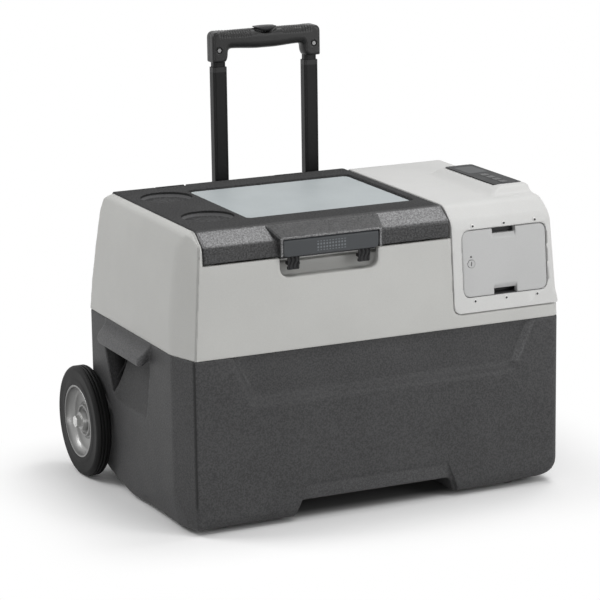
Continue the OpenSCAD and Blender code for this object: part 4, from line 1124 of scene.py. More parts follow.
@dataclass
class LowerBody(Assembly):
    """Lower shell with its front field, foot arch, hand grips at both ends, and feet."""

    half_w: float = Box.of("upper_shell").hi[0]
    half_d: float = Box.of("lower_shell").hi[1]
    top: float = Box.of("lower_shell").hi[2]
    corner: Pair = (15.5, 57.0)
    corner_r: tuple[float, ...] = (4.0, 40.0, 4.0, 9.0, 6.0)
    ramp: Pair = (45.0, 25.0)
    ramp_edge: Pair = (120.0, 9.0)
    toe: Triple = (0.0, -0.026, -1.0)
    toe_y: float = -60.0
    field_x: float = 15.0
    field_half: Pair = (249.0, 219.0)
    field_low: float = 200.0
    field_step: Pair = (12.0, 9.0)
    field_edge: Pair = (11.0, 42.0)
    arch_half: Pair = (143.0, 120.0)
    arch_top: float = 56.0
    arch_ceiling: float = 26.0
    arch_inset: float = 9.0
    arch_edge: Pair = (5.0, 40.0)
    pocket_y: float = 30.0
    pocket_z: Pair = (140.0, 223.0)
    pocket_half: Pair = (65.5, 83.5)
    pocket_in: float = 30.0
    pocket_over: float = 23.0
    pocket_edge: float = 3.0
    bar_z: Pair = (235.0, 265.0)
    bar_out: float = 20.0
    flank_y: float = 100.0
    flank_in: float = 10.0
    flank_top: float = 160.0
    flank_edge: Pair = (8.0, 20.0)
    vent: Pair = (224.0, 178.0)
    vent_half: float = 62.0
    inlet: Pair = (-120.0, 205.0)
    inlet_r: float = 10.4
    inside: tuple[Pair, Pair] = ((-284.0, -182.0), (284.0, 178.0))
    inside_floor: float = 34.0
    axle_channel: tuple[Pair, Pair] = ((186.0, 76.0), (260.0, 92.0))
    below: float = 4.0
    step: float = 3.4

    def build(self) -> None:
        """Makes the shell and dresses the parts on it."""
        box = Box.of("lower_shell").deeper(self.below)
        self.mould(
            "lower_shell_moulding", self.form(), box, self.step, CHARCOAL, "root", "lower_shell"
        )
        self.dress(SEAL_RUBBER, "rubber_feet", "compressor_grommets", edge=1.2)
        self.dress(BLACK_PLASTIC, "vent_grille", "fan_frame", "dc_inlet", "fan_rotor")

    def form(self) -> Form:
        """The whole shell.

        Returns:
            Its solid.
        """
        shell = self.block().cut(self.front_field(), *self.field_edge)
        shell = shell.cut(self.arch_face(), *self.arch_edge).cut(self.tunnel(), 2.5)
        shell = shell.cut(self.flank().both_sides(), *self.flank_edge)
        shell = shell.cut(self.pocket().both_sides(), self.pocket_edge)
        shell = shell.cut(self.hole().both_sides(), self.pocket_edge / 2)
        return self.hollow(shell.join(self.bar().both_sides(), self.pocket_edge))

    def block(self) -> Form:
        """Outer block with its slanted front left corner and rounded foot.

        Returns:
            The block without recesses.
        """
        w, d = self.half_w, self.half_d
        chamfer = (-w, self.corner[1] - d), (self.corner[0] - w, -d)
        plan = Form.prism(Axis.Z, [(-w, d), *chamfer, (w, -d), (w, d)], self.corner_r)
        slope = (0.0, self.ramp[1], self.ramp[0] - d)
        floor = Form.past(Axis.Z, 0.0).join(Form.half(Axis.Y.spot(self.toe_y), self.toe))
        floor = floor.meet(Form.half(Axis.Y.spot(self.ramp[0]), slope), *self.ramp_edge)

        def foot_radius(x: Array, y: Array, z: Array) -> Array:
            """Radius of the foot's edge: large at the front left corner, less so at the right."""
            left = ease(x, -310.0, -320.0) * (33.0 * ease(y, 60.0, -190.0) - 3.0)
            return 13.0 + 9.0 * ease(x, 200.0, 300.0) - 5.0 * ease(x, -285.0, -306.0) + left

        block = plan.meet(floor, Form(foot_radius))
        return block.meet(Form.before(Axis.Z, self.top), 1.5)

    def front_field(self) -> Form:
        """Shallow field in the front, under the upper shell.

        Returns:
            The volume that the field takes out.
        """
        run, deep = self.field_step
        front = -self.half_d
        high, low = self.field_half
        back = Form.before(Axis.Y, front + deep)
        under = Form.half((0.0, front + deep, self.field_low), (0.0, run, -deep))
        down = Vector((low - high, 0.0, self.field_low - self.top))
        side = down.cross(Vector((run, -deep, 0.0)))
        if side.x < 0:
            side.negate()
        sides = Form.half((high, front + deep, self.top), tuple(side)).both_sides()
        return back.meet(under, 14.0, 42.0).meet(sides.at_x(self.field_x), 12.0, 42.0)

    def arch_side(self, less: float = 0.0) -> Form:
        """Slanted sides of the opening under the front."""
        low, high = self.arch_half
        return Form.half((low - less, 0.0, 0.0), (self.arch_top, 0.0, low - high)).both_sides()

    def arch_face(self) -> Form:
        """Slanted face over the opening under the front."""
        lean = (0.0, self.arch_top - 22.0, self.arch_inset)
        return Form.half((0.0, -self.half_d, self.arch_top), lean).meet(self.arch_side(), 3.0, 60.0)

    def tunnel(self) -> Form:
        """The opening from front to back under the box."""
        roof = Form.before(Axis.Z, self.arch_ceiling)
        return roof.meet(self.arch_side(4.0), 8.0, 70.0)

    def pocket(self) -> Form:
        """Hand pocket in the right end.

        Returns:
            The volume that the pocket takes out.
        """
        w, (low, high) = self.half_w, self.pocket_z
        narrow, wide = self.pocket_half
        floor = Form.half((w, 0.0, low), (low - high, 0.0, -self.pocket_in))
        back = Form.past(Axis.X, w - self.pocket_in)
        y, over = self.pocket_y, high + self.pocket_over
        sides = Form.prism(
            Axis.X,
            [(y - narrow, low), (y + narrow, low), (y + wide, high), (y + wide, over),
             (y - wide, over), (y - wide, high)],
            [6.0, 6.0, 12.0, 6.0, 6.0, 12.0],
        )
        return floor.meet(back, 14.0, 45.0).meet(sides, 5.0)

    def hole(self) -> Form:
        """Deep corner at the back of the right pocket.

        Returns:
            The volume that it takes out.
        """
        y, (low, high) = self.pocket_y, self.pocket_z
        outline = [(y + 64.0, high + 3.0), (y + 71.0, low - 2.0), (y + 106.0, high + 3.0)]
        back = Form.past(Axis.X, self.half_w - self.pocket_in)
        return Form.prism(Axis.X, outline, 3.0).meet(back)

    def bar(self) -> Form:
        """Slanted grab bar over the right pocket.

        Returns:
            The bar's solid.
        """
        w, (low, high) = self.half_w, self.bar_z
        out, y = w + self.bar_out, self.pocket_y
        section = Form.prism(
            Axis.Y,
            [(w - 6.0, high + 3.0), (w - 2.4, high + 3.0), (out, low + 9.0), (out, low - 2.0),
             (out - 8.0, low - 6.0), (w - 6.0, low + 12.0)],
            [0.0, 0.0, 9.0, 5.0, 6.0, 0.0],
        )
        half = self.pocket_half[1]
        ends = Form.prism(
            Axis.X,
            [(y - half, low - 9.0), (y + half, low - 9.0), (y + half + 15.0, high + 9.0),
             (y - half - 15.0, high + 9.0)],
        )
        return section.meet(ends, 4.0)

    def flank(self) -> Form:
        """Where the right end draws in beside its wheel.

        Returns:
            The volume that it takes out.
        """
        w, y = self.half_w, self.flank_y
        face = Form.half((w, y, 0.0), (y - self.half_d, -self.flank_in, 0.0))
        upper = Form.half((0.0, y, 130.0), (0.0, -40.0, 98.0))
        return face.meet(upper, 12.0).meet(Form.before(Axis.Z, self.flank_top), 12.0)

    def hollow(self, shell: Form) -> Form:
        """Takes out the inside, the vent, the supply inlet and the axle's channel.

        Args:
            shell: The solid shell.

        Returns:
            The hollow shell.
        """
        inside = Form.bar(Axis.Z, *self.inside, 12.0)
        shell = shell.cut(inside.meet(Form.past(Axis.Z, self.inside_floor)))
        (x, z), half = self.vent, self.vent_half
        vent = Form.bar(Axis.Y, (x - half, z - half), (x + half, z + half), 8.0)
        shell = shell.cut(vent.meet(Form.past(Axis.Y, 160.0)), 1.0)
        inlet = Form.rod(Axis.X, self.inlet, self.inlet_r)
        shell = shell.cut(inlet.meet(Form.past(Axis.X, 270.0)), 0.6)
        return shell.cut(Form.bar(Axis.X, *self.axle_channel, 2.0), 1.0)


@dataclass
class UpperBody(Assembly):
    """Upper shell with the left end cap and the latch recess, and the tub inside it."""

    box: Box = Box.of("upper_shell")
    lid: Box = Box.of("lid_outer")
    cover: Box = Box.of("compressor_cover")
    left: tuple[Pair, ...] = (
        (-324.3, 200.0), (-320.0, 268.0), (-317.0, 315.0), (-310.0, 379.5), (-303.0, 432.0),
        (-296.5, 451.0), (-255.0, 480.0),
    )
    right: tuple[Pair, ...] = (
        (299.5, 480.0), (311.0, 388.0), (319.0, 308.0), (320.0, 289.0), (320.0, 200.0),
    )
    end_r: tuple[float, ...] = (0.0, 0.0, 60.0, 8.0, 10.0, 12.0, 0.0, 0.0, 80.0, 80.0, 40.0, 0.0)
    front: float = -198.0
    skirt: float = 200.0
    corner_at: Pair = (-320.0, -141.0)
    corner: Triple = (-8151.0, -2431.0, 945.0)
    deck: float = 400.0
    recess: Box = Box((-157.0, -260.0, 379.0), (7.0, -173.0, 470.0))
    rim_half: float = 176.0
    tub: tuple[Pair, Pair] = ((-254.0, -154.0), (104.0, 154.0))
    room_x: Pair = (142.0, 300.0)
    pad_y: Pair = (180.0, 190.0)
    pad_z: Pair = (375.0, 400.0)
    step: float = 3.6

    def build(self) -> None:
        """Makes the shell and dresses the tub, foam and hinge parts."""
        self.mould(
            "upper_shell_moulding", self.form(), self.box, self.step, LIGHT_GREY, "root",
            "upper_shell",
        )
        self.dress(LINER_WHITE, "inner_liner", edge=1.5)
        self.dress(FOAM, "tub_foam")
        self.dress(ALUMINIUM, "evaporator", "bulkhead")
        self.dress(BLACK_PLASTIC, "latch_strikes")
        self.dress(LID_CHARCOAL, "hinge_brackets")
        self.dress(STEEL, "hinge_pins")

    def form(self) -> Form:
        """The whole shell.

        Returns:
            Its solid.
        """
        ends = Form.prism(Axis.Y, [*self.left, *self.right], self.end_r)
        shell = ends.meet(self.sides(), Form(lambda x, y, z: 3.5 + 6.0 * ease(x, 0.0, 300.0)))
        corner = Form.half((*self.corner_at, self.box.lo[2]), self.corner)
        shell = shell.meet(corner, 4.0, 60.0)
        shell = shell.meet(Form.past(Axis.Z, self.box.lo[2]), 1.5)
        return self.opened(shell.join(self.pads()))

    def sides(self) -> Form:
        """Leaning front and back with the top and its front bevel.

        Returns:
            The section along the box.
        """
        top, edge = self.lid.hi[2], self.lid.hi[2] - LID_BEVEL[1]
        y0, low = self.lid.lo[1] + LID_BEVEL[0], self.skirt
        return Form.prism(
            Axis.X,
            [(self.wall_at(low), low), (-self.wall_at(low), low),
             (-self.wall_at(top - 8.0), top - 8.0), (-self.wall_at(top) - 8.0, top), (y0, top),
             (self.wall_at(edge), edge)],
            [0.0, 0.0, 8.0, 8.0, 14.0, 12.0],
        )

    def wall_at(self, z: float) -> float:
        """Place of the leaning front at a height."""
        low, seam = self.box.lo[2], self.lid.lo[2]
        return self.front + LEAN_IN * (z - low) / (seam - low)

    def pads(self) -> Form:
        """Pads on the back for the hinges and the trolley tubes.

        Returns:
            Its solid.
        """
        low, high = self.pad_y
        seats = Form.bar(Axis.Z, (-9.0, low), (9.0, high), 1.0).at_x(*HINGE_X)
        tubes = Form.bar(Axis.Z, (-19.0, low), (19.0, high), 1.0).at_x(-TUBE_X, TUBE_X)
        return seats.join(tubes).meet(Form.slab(Axis.Z, *self.pad_z), 1.0)

    def opened(self, shell: Form) -> Form:
        """Takes out the places of the lid, cover, latch and tub.

        Args:
            shell: The solid shell.

        Returns:
            The open shell.
        """
        seam = self.lid.lo[2] - 2.0
        x0, x1 = self.lid.lo[0] - 2.0, self.cover.lo[0]
        above = Form.past(Axis.Z, seam)
        lid = Form.past(Axis.X, x0).meet(above)
        cover = Form.bar(Axis.Y, (x1, self.cover.lo[2]), (400.0, 520.0), 8.0)
        half, (room_low, room_high), recess = self.rim_half, self.room_x, self.recess
        rim = Form.bar(Axis.Z, (x0 + 8.0, -half), (x1 - 8.0, half), 10.0)
        rim = rim.meet(Form.past(Axis.Z, self.deck))
        tub = Form.bar(Axis.Z, *self.tub, 22.0)
        room = Form.bar(Axis.Z, (room_low, -half), (room_high, half), 8.0)
        latch = Form.bar(Axis.Y, recess.lo[::2], recess.hi[::2], 10.0)
        latch = latch.meet(Form.before(Axis.Y, recess.hi[1]), 3.0)
        return shell.cut(lid.join(cover), 1.2).cut(rim, 1.0).cut(tub, 1.0).cut(room).cut(latch, 2.2)


@dataclass
class CompressorModule(Assembly):
    """Cover over the compressor with its control panel, and the cooling parts under it."""

    box: Box = Box.of("compressor_cover")
    panel: Box = Box.of("panel_fascia")
    door: Box = Box.of("battery_door")
    top: float = Box.of("lid_outer").hi[2]
    gap: float = 0.8
    hump_x: float = 228.0
    hump_y: Pair = (-135.5, 75.5)
    screw_r: float = 3.1
    screw_tall: float = 0.9
    right: Pair = (307.5, 317.0)
    back: Triple = (174.8, 182.8, 203.7)
    bevel: tuple[float, ...] = (430.0, -157.0, 26.0)
    far: float = 500.0
    skirt: float = 200.0
    battery_y: Pair = (-166.0, -60.0)
    inside: tuple[Pair, Pair] = ((144.0, 200.0), (298.0, 440.0))
    inside_y: Pair = (-50.0, 172.0)
    panel_room: float = 0.4
    panel_deep: float = 9.0
    step: float = 2.4

    def build(self) -> None:
        """Makes the cover and dresses the panel and the cooling unit."""
        self.mould(
            "compressor_cover_moulding", self.form(), self.box, self.step, COVER_GREY, "root",
            "compressor_cover",
        )
        self.dress(PANEL_BLACK, "panel_fascia", edge=0.4)
        self.dress(DISPLAY_SMOKE, "display_window", edge=0.3)
        self.dress(KEY_GREY, "power_button", "set_button", "up_button", "down_button", edge=0.3)
        self.dress(BOARD_GREEN, "control_board", edge=0.2)
        self.dress(COMPRESSOR_BLACK, "compressor", edge=2.0)
        self.dress(ALUMINIUM, "condenser", "compressor_controller", edge=0.2)
        self.dress(COPPER, "refrigerant_tubes", edge=0.1)
        (ax, _, az), (bx, _, bz) = Box.of("cover_screws").lo, Box.of("cover_screws").hi
        heads = Box((ax, self.front_at(az) - 2.0, az), (bx, self.front_at(bz) + 3.0, bz))
        self.mould(
            "cover_screw_heads", self.screws(), heads, 0.7, SCREW_GREY, "root", "cover_screws"
        )

    def screws(self) -> Form:
        """Heads of the six cover screws, with round sockets.

        Returns:
            Their solid.
        """
        (x, z), (across, up) = SCREW_GREY.middle, SCREW_GREY.pitch
        heads = []
        for at in [(x + k * across, z + way * up) for k in (-1, 0, 1) for way in (-1, 1)]:
            y = self.front_at(at[1])
            head = Form.rod(Axis.Y, at, self.screw_r)
            head = head.meet(Form.slab(Axis.Y, y - self.screw_tall, y + 2.0), 0.7)
            socket = Form.rod(Axis.Y, at, SCREW_GREY.socket)
            heads.append(head.cut(socket.meet(Form.slab(Axis.Y, y - 5.0, y - 0.3)), 0.2))
        return functools.reduce(Form.join, heads)

    @staticmethod
    def front_at(z: float) -> float:
        """Place of the cover's front face at a height."""
        return COVER_FRONT + LEAN_IN * (z - SEAM) / LEAN_UP

    def form(self) -> Form:
        """The whole cover.

        Returns:
            Its solid.
        """
        x0, z0 = self.box.lo[0] + self.gap, self.box.lo[2] + self.gap
        (upper, lower), far, top, low = self.right, self.far, self.top, self.skirt
        corners = [(upper, far), (x0, far), (x0, z0), (lower, z0)]
        ends = Form.prism(Axis.Y, corners, [0.0, 0.0, 8.0, 2.0])
        (bevel, y0, r), (y1, y2, y3) = self.bevel, self.back
        sides = Form.prism(
            Axis.X,
            [(self.front_at(low), low), (self.front_at(bevel), bevel), (y0, top), (y1, top),
             (y2, top - 8.0), (y3, low)],
            [0.0, r, r, 8.0, 8.0, 0.0],
        )
        return self.opened(ends.meet(sides, Form(self.edge)).join(self.hump(), 18.0, 38.0))

    @staticmethod
    def edge(x: Array, y: Array, z: Array) -> Array:
        """Radius of the cover's edges, larger on the right end above the seam."""
        upper = 5.0 * ease(z, 292.0, 316.0) + 1.0 * ease(z, 436.0, 452.0)
        return 1.2 + ease(x, 220.0, 300.0) * upper

    def hump(self) -> Form:
        """Raised bed of the control panel.

        Returns:
            Its solid, down into the cover.
        """
        top, x, (y0, y1) = self.box.hi[2], self.hump_x, self.hump_y
        low, rise = self.top - 12.0, top - self.top
        across = Form.prism(
            Axis.Y,
            [(x - 16.0, low), (x + 5 * rise, self.top + 3 * rise), (303.5, self.far), (305.0, low)],
        )
        along = Form.prism(
            Axis.X,
            [(y0 - 12.0, low), (y0 + rise, top), (y1 - rise, top), (y1 + 12.0, low)],
            [0.0, 10.0, 10.0, 0.0],
        )
        return across.meet(along, 14.0, 50.0)

    def opened(self, cover: Form) -> Form:
        """Takes out the door's opening, the battery's room, the panel's bed and the inside.

        Args:
            cover: The solid cover.

        Returns:
            The open cover.
        """
        (x0, _, z0), (x1, _, z1) = self.door.lo, self.door.hi
        opening = Form.bar(Axis.Y, (x0 - 1.0, z0 - 1.0), (x1 + 1.0, z1 + 1.0), 9.0)
        opening = opening.meet(Form.before(Axis.Y, self.battery_y[1]))
        room = Form.bar(Axis.Y, (x0 - 3.0, z0 - 3.0), (x1 + 2.5, z1 + 3.0), 4.0)
        room = room.meet(Form.slab(Axis.Y, *self.battery_y))
        inside = Form.bar(Axis.Y, *self.inside, 8.0).meet(Form.slab(Axis.Y, *self.inside_y))
        panel = self.panel.grown(self.panel_room)
        bed = Form.bar(Axis.Z, panel.lo[:2], panel.hi[:2], 4.4)
        bed = bed.meet(Form.past(Axis.Z, self.box.hi[2] - self.panel_deep))
        return cover.cut(opening).cut(room).cut(inside).cut(bed)


@dataclass
class Battery(Assembly):
    """Pull-out battery: its door with two finger scoops, its case, cells, bay and lock."""

    door: Box = Box.of("battery_door")
    back: float = 0.6
    thick: float = 11.0
    scoop: Pair = (20.5, 16.0)
    scoop_deep: float = 9.0
    slot: float = 0.45
    lock: Pair = (166.0, 366.0)
    lock_r: float = 6.4
    pin_up: float = 11.0
    pin_r: float = 1.6
    step: float = 1.0

    def build(self) -> None:
        """Makes the door and dresses the rest."""
        low, high = self.door.lo, self.door.hi
        box = Box(low, (high[0], high[1] + self.thick, high[2]))
        self.mould(
            "battery_door_moulding", self.form(), box, self.step, DOOR_GREY, "battery",
            "battery_door",
        )
        self.dress(BLACK_PLASTIC, "battery_case", edge=1.0)
        self.dress(BAY_GREY, "battery_bay")
        self.dress(CELL_BLUE, "battery_cells")
        self.dress(DOOR_GREY, "battery_lock", edge=0.3)

    def form(self) -> Form:
        """The door.

        Returns:
            Its solid.
        """
        (x0, _, z0), (x1, _, z1) = self.door.lo, self.door.hi
        y0 = CompressorModule.front_at(z0) + self.back
        face = Form.half((0.0, y0, z0), (0.0, -LEAN_UP, LEAN_IN))
        rear = Form.half((0.0, y0 + self.thick, z0), (0.0, LEAN_UP, -LEAN_IN))
        door = Form.bar(Axis.Y, (x0, z0), (x1, z1), 8.0).meet(face, 1.6).meet(rear)
        half, tall = self.scoop
        across = Form.slab(Axis.X, (x0 + x1) / 2 - half, (x0 + x1) / 2 + half)
        for z, way in ((z0 + tall, -1.0), (z1 - tall, 1.0)):
            y = CompressorModule.front_at(z) + self.back
            slope = Form.half((0.0, y, z), (0.0, tall, -self.scoop_deep * way))
            slot = Form.half(Axis.Z.spot(z + way * tall * self.slot), Axis.Z.spot(-way))
            room = slope.join(slot).meet(Form.half(Axis.Z.spot(z), Axis.Z.spot(-way)))
            door = door.cut(room.meet(across, 1.5), 0.8)
        pin = Form.rod(Axis.Y, (self.lock[0], self.lock[1] + self.pin_up), self.pin_r)
        return door.cut(Form.rod(Axis.Y, self.lock, self.lock_r), 0.8).cut(pin, 0.2)


@dataclass
class Lid(Assembly):
    """Lid with two cup holders and the lift-out cutting board."""

    box: Box = Box.of("lid_outer")
    board: Box = Box.of("cutting_board")
    cup_deep: float = 9.0
    board_room: Pair = (1.5, 4.5)
    hinge_half: float = 27.3
    hinge_y: Pair = (177.0, 300.0)
    hinge_low: float = 440.5
    lip: Pair = (4.0, 3.0)
    step: float = 2.4

    def build(self) -> None:
        """Makes the lid and the board, and dresses the lining, seal and hinges."""
        self.mould(
            "lid_moulding", self.form(), self.box, self.step, LID_CHARCOAL, "lid", "lid_outer"
        )
        (x0, y0, z0), (x1, y1, z1) = self.board.lo, self.board.hi
        slab = Form.bar(Axis.Z, (x0, y0), (x1, y1), 6.0).meet(Form.slab(Axis.Z, z0, z1), 1.4)
        self.mould(
            "cutting_board_slab", slab, self.board, 2.0, BOARD_GREY, "board", "cutting_board"
        )
        self.dress(LINER_WHITE, "lid_inner", edge=1.2)
        self.dress(FOAM, "lid_foam")
        self.dress(SEAL_RUBBER, "lid_gasket", edge=1.5)
        self.dress(LID_CHARCOAL, "lid_hinges")

    def form(self) -> Form:
        """The lid.

        Returns:
            Its solid.
        """
        (x0, y0, z0), (x1, y1, z1) = self.box.lo, self.box.hi
        run, drop = LID_BEVEL
        sides = Form.prism(
            Axis.X,
            [(y0, 300.0), (y0, z1 - drop), (y0 + run, z1), (y1, z1), (y1, 300.0)],
            [0.0, 5.0, 18.0, 2.0, 0.0],
        )
        lid = Form.bar(Axis.Y, (x0, z0), (x1, 500.0), 1.5).meet(sides, 3.0)
        for centre in CUPS:
            bowl = Form.rod(Axis.Z, centre, CUP_R)
            lid = lid.cut(bowl.meet(Form.past(Axis.Z, z1 - self.cup_deep), 6.0), 0.8)
        (bx, by, bz), (cx, cy, _) = self.board.lo, self.board.hi
        near, far = self.board_room
        bed = Form.bar(Axis.Z, (bx - near, by - near), (cx + far, cy + far), 7.0)
        lid = lid.cut(bed.meet(Form.past(Axis.Z, bz)), 1.6)
        half, (front, back), (wall, deep) = self.hinge_half, self.hinge_y, self.lip
        notch = Form.bar(Axis.Z, (-half, front), (half, back), 1.0).at_x(*HINGE_X)
        notch = notch.meet(Form.past(Axis.Z, self.hinge_low), 1.0)
        under = Form.bar(Axis.Z, (x0 + wall, y0 + wall), (x1 - wall, y1 - wall), 6.0)
        return lid.cut(notch, 1.0).cut(under.meet(Form.before(Axis.Z, z0 + deep)))


@dataclass
class Latch(Assembly):
    """Lid latch: housing on the lid's bevel, swinging bar and two hooks."""

    middle: float = -75.0
    bar: Box = Box((-155.0, -195.0, 411.0), (5.0, -188.0, 438.0))
    pivot: Pair = (-191.0, 434.0)
    housing: Box = Box.of("latch_housing")
    hooks: Box = Box.of("latch_hooks")
    hook_x: tuple[float, ...] = (-137.5, -19.5)
    hook_w: float = 19.5
    roof: tuple[Pair, ...] = (
        (-197.0, 438.6), (-184.2, 438.6), (-160.5, 455.0), (-164.0, 455.6), (-192.0, 443.4),
        (-197.0, 441.2),
    )
    roof_half: Pair = (84.5, 96.0)
    cheek: tuple[Pair, Pair] = ((-196.0, 412.0), (-184.0, 440.0))
    cheek_x: Pair = (82.6, 1.9)
    rib: Triple = (1.6, 1.5, 6.5)

    def build(self) -> None:
        """Makes the three pieces."""
        self.mould(
            "latch_housing_moulding", self.housing_form(), self.reach(), 1.2, LID_CHARCOAL, "lid",
            "latch_housing",
        )
        face = Dotted(
            "latch_bar_grey", "latch_grey", (0.052, 0.056, 0.06), 0.45, 1.2, 0.04, 0.05, 0.3,
            middle=(self.middle, 424.0),
        )
        self.mould("latch_bar", self.bar_form(), self.bar, 1.2, face, "latch", "latch_handle")
        (_, y0, z0), (_, y1, z1) = self.hooks.lo, self.hooks.hi
        half = self.hook_w / 2
        hooks = Box((self.hook_x[0] - half, y0, z0), (self.hook_x[-1] + half, y1, z1))
        self.mould(
            "latch_hook_pair", self.hook_form(), hooks, 0.8, BLACK_PLASTIC, "latch", "latch_hooks"
        )

    def reach(self) -> Box:
        """Where the housing is, with its cheeks down to the lid's lower edge."""
        low, high = self.housing.lo, self.housing.hi
        return Box((low[0], low[1], self.bar.lo[2]), (high[0], high[1], high[2] + 1.0))

    def housing_form(self) -> Form:
        """Roof over the bar, running up the lid's bevel, with a cheek at each end.

        Returns:
            Its solid.
        """
        roof = Form.prism(Axis.X, self.roof, [0.6, 0.0, 0.0, 0.8, 6.0, 1.2])
        x, (near, far), (out, half) = self.middle, self.roof_half, self.cheek_x
        corners = [(x - near, -197.0), (x + near, -197.0), (x + far, -157.0), (x - far, -157.0)]
        plan = Form.prism(Axis.Z, corners, [4.0, 4.0, 0.0, 0.0])
        cheek = Form.bar(Axis.X, *self.cheek, 1.5)
        ends = Form.slab(Axis.X, -half, half).at_x(x - out, x + out)
        return roof.meet(plan, 1.6).join(cheek.meet(ends, 0.6), 1.0)

    def bar_form(self) -> Form:
        """The bar with its round upper edge.

        Returns:
            Its solid.
        """
        low, high = self.bar.lo, self.bar.hi
        round_top = Form.rod(Axis.X, self.pivot, 4.0)
        blade = Form.bar(Axis.X, (low[1], low[2] - 40.0), (high[1], self.pivot[1]), 0.5)
        front = Form.bar(Axis.Y, (low[0], low[2]), (high[0], high[2] + 20.0), 5.0)
        return round_top.join(blade).meet(front, 1.6)

    def hook_form(self) -> Form:
        """Both hooks, with ribbed fronts.

        Returns:
            Their solid.
        """
        low, high = self.hooks.lo, self.hooks.hi
        section = Form.prism(
            Axis.X,
            [(low[1], high[2] + 0.4), (high[1] - 0.6, high[2] + 0.4), (high[1], low[2] + 4.0),
             (high[1], low[2] + 1.0), (high[1] - 1.2, low[2]), (low[1] + 1.5, low[2])],
            0.8,
        )
        above_toe = Form.half((0.0, high[1], low[2] + 4.5), (0.0, -1.0, -3.0))
        section = section.cut(above_toe.meet(Form.past(Axis.Y, high[1] - 3.0)))
        plain = section.meet(Form.slab(Axis.X, -self.hook_w / 2, self.hook_w / 2), 1.2)
        turn, (bend, deep, pitch) = 2.0 * math.pi, self.rib

        def ribs(x: Array, z: Array) -> Array:
            """Depth of the wavy ribs."""
            bent = x + bend * np.sin((z - low[2]) * turn / (high[2] - low[2]))
            return deep * (1.0 + np.cos(bent * turn / pitch))

        ribbed = plain.meet(Form(lambda x, y, z: low[1] + ribs(x, z) - y))
        return ribbed.at_x(*self.hook_x)


@dataclass
class Wheels(Assembly):
    """Two solid tyres on dished rims, with their axle."""

    tyre: Box = Box.of("tyre_right")
    rim: Box = Box.of("rim_right")
    shoulder: float = 7.0
    groove: Pair = (2.2, 3.5)
    pitch: float = 5.6
    hub: float = 25.0
    boss: float = 15.0
    bore: float = 6.1
    segments: int = 96

    def build(self) -> None:
        """Makes both wheels and dresses the axle."""
        for side, name in ((-1.0, "left"), (1.0, "right")):
            for part, section, finish in (
                ("tyre", self.tyre_section(), TYRE_RUBBER), ("rim", self.rim_section(), RIM_SILVER),
            ):
                mesh = self.turned(f"{name}_{part}", section, side)
                self.put(mesh, finish, f"{name}_wheel", f"{part}_{name}")
        self.dress(STEEL, "axle", "axle_nuts", edge=0.5)
        self.dress(BLACK_PLASTIC, "axle_brackets")

    def tyre_section(self) -> list[Pair]:
        """Section of a tyre.

        Returns:
            Radius and distance from the inner face, in millimetres, once round.
        """
        wide = self.tyre.hi[0] - self.tyre.lo[0]
        radius = (self.tyre.hi[2] - self.tyre.lo[2]) / 2
        inner = (self.rim.hi[2] - self.rim.lo[2]) / 2 + 0.2
        arc = [math.radians(a) for a in range(0, 91, 15)]
        r = self.shoulder
        bead = [(inner, 0.6), (inner + 1.2, 0.0), (inner + 9.0, 0.0), (inner + 11.0, 0.8)]
        points = bead + [(radius - r + r * math.sin(a), r - r * math.cos(a)) for a in arc]
        half, deep = self.groove[0] / 2, self.groove[1]
        for k in (-1, 0, 1):
            at = wide / 2 + k * self.pitch
            low, high = at - half, at + half
            points += [(radius, low - 0.5), (radius - 0.5, low), (radius - deep, low),
                       (radius - deep, high), (radius - 0.5, high), (radius, high + 0.5)]
        points += [(radius - r + r * math.cos(a), wide - r + r * math.sin(a)) for a in arc]
        return points + [(out, wide - along) for out, along in bead[::-1]]

    def rim_section(self) -> list[Pair]:
        """Section of a rim, dished on its outer side.

        Returns:
            Radius and distance from the inner face, in millimetres, once round.
        """
        wide = self.rim.hi[0] - self.rim.lo[0]
        r, mid = (self.rim.hi[2] - self.rim.lo[2]) / 2, wide / 2
        bore, boss, hub = self.bore, self.boss, self.hub
        return [
            (bore, 0.5), (boss, 0.5), (boss, mid - 6), (r - 12, mid - 6), (r - 6, 0.6),
            (r - 0.3, 0.0), (r, 0.4), (r, wide - 0.4), (r - 0.4, wide), (r - 2.6, wide),
            (r - 3.6, wide - 0.8), (r - 5, wide - 6), (r - 8, mid + 1), (r - 12, mid - 1.6),
            (hub + 5, mid - 2), (hub + 2, mid - 1), (hub + 0.6, mid + 3), (hub - 0.6, mid + 3.6),
            (hub - 2, mid + 3), (hub - 3.4, mid - 0.4), (boss + 4, mid - 0.8),
            (boss + 2, mid + 0.4), (boss + 0.6, mid + 5), (boss - 0.6, wide - 4.4),
            (boss - 1.8, wide - 4), (bore, wide - 4),
        ]

    def turned(self, name: str, section: list[Pair], side: float) -> bpy.types.Mesh:
        """Turns a section round the axle.

        Args:
            name: Name of the mesh.
            section: Radius and distance from the inner face.
            side: -1 for the left wheel, 1 for the right one.

        Returns:
            The closed mesh.
        """
        start = self.tyre.lo[0]
        y, z = self.tyre.mid(Axis.Y), self.tyre.mid(Axis.Z)
        count = len(section)
        points, faces = [], []
        for n in range(self.segments):
            angle = 2.0 * math.pi * n / self.segments
            for r, out in section:
                up, along = math.sin(angle), math.cos(angle)
                points.append(Vector((side * (start + out), y + r * along, z + r * up)))
            for k in range(count):
                a, b = n * count + k, n * count + (k + 1) % count
                turn = self.segments * count
                quad = (a, b, (b + count) % turn, (a + count) % turn)
                faces.append(quad if side < 0 else quad[::-1])
        return self.drawn(name, points, faces)


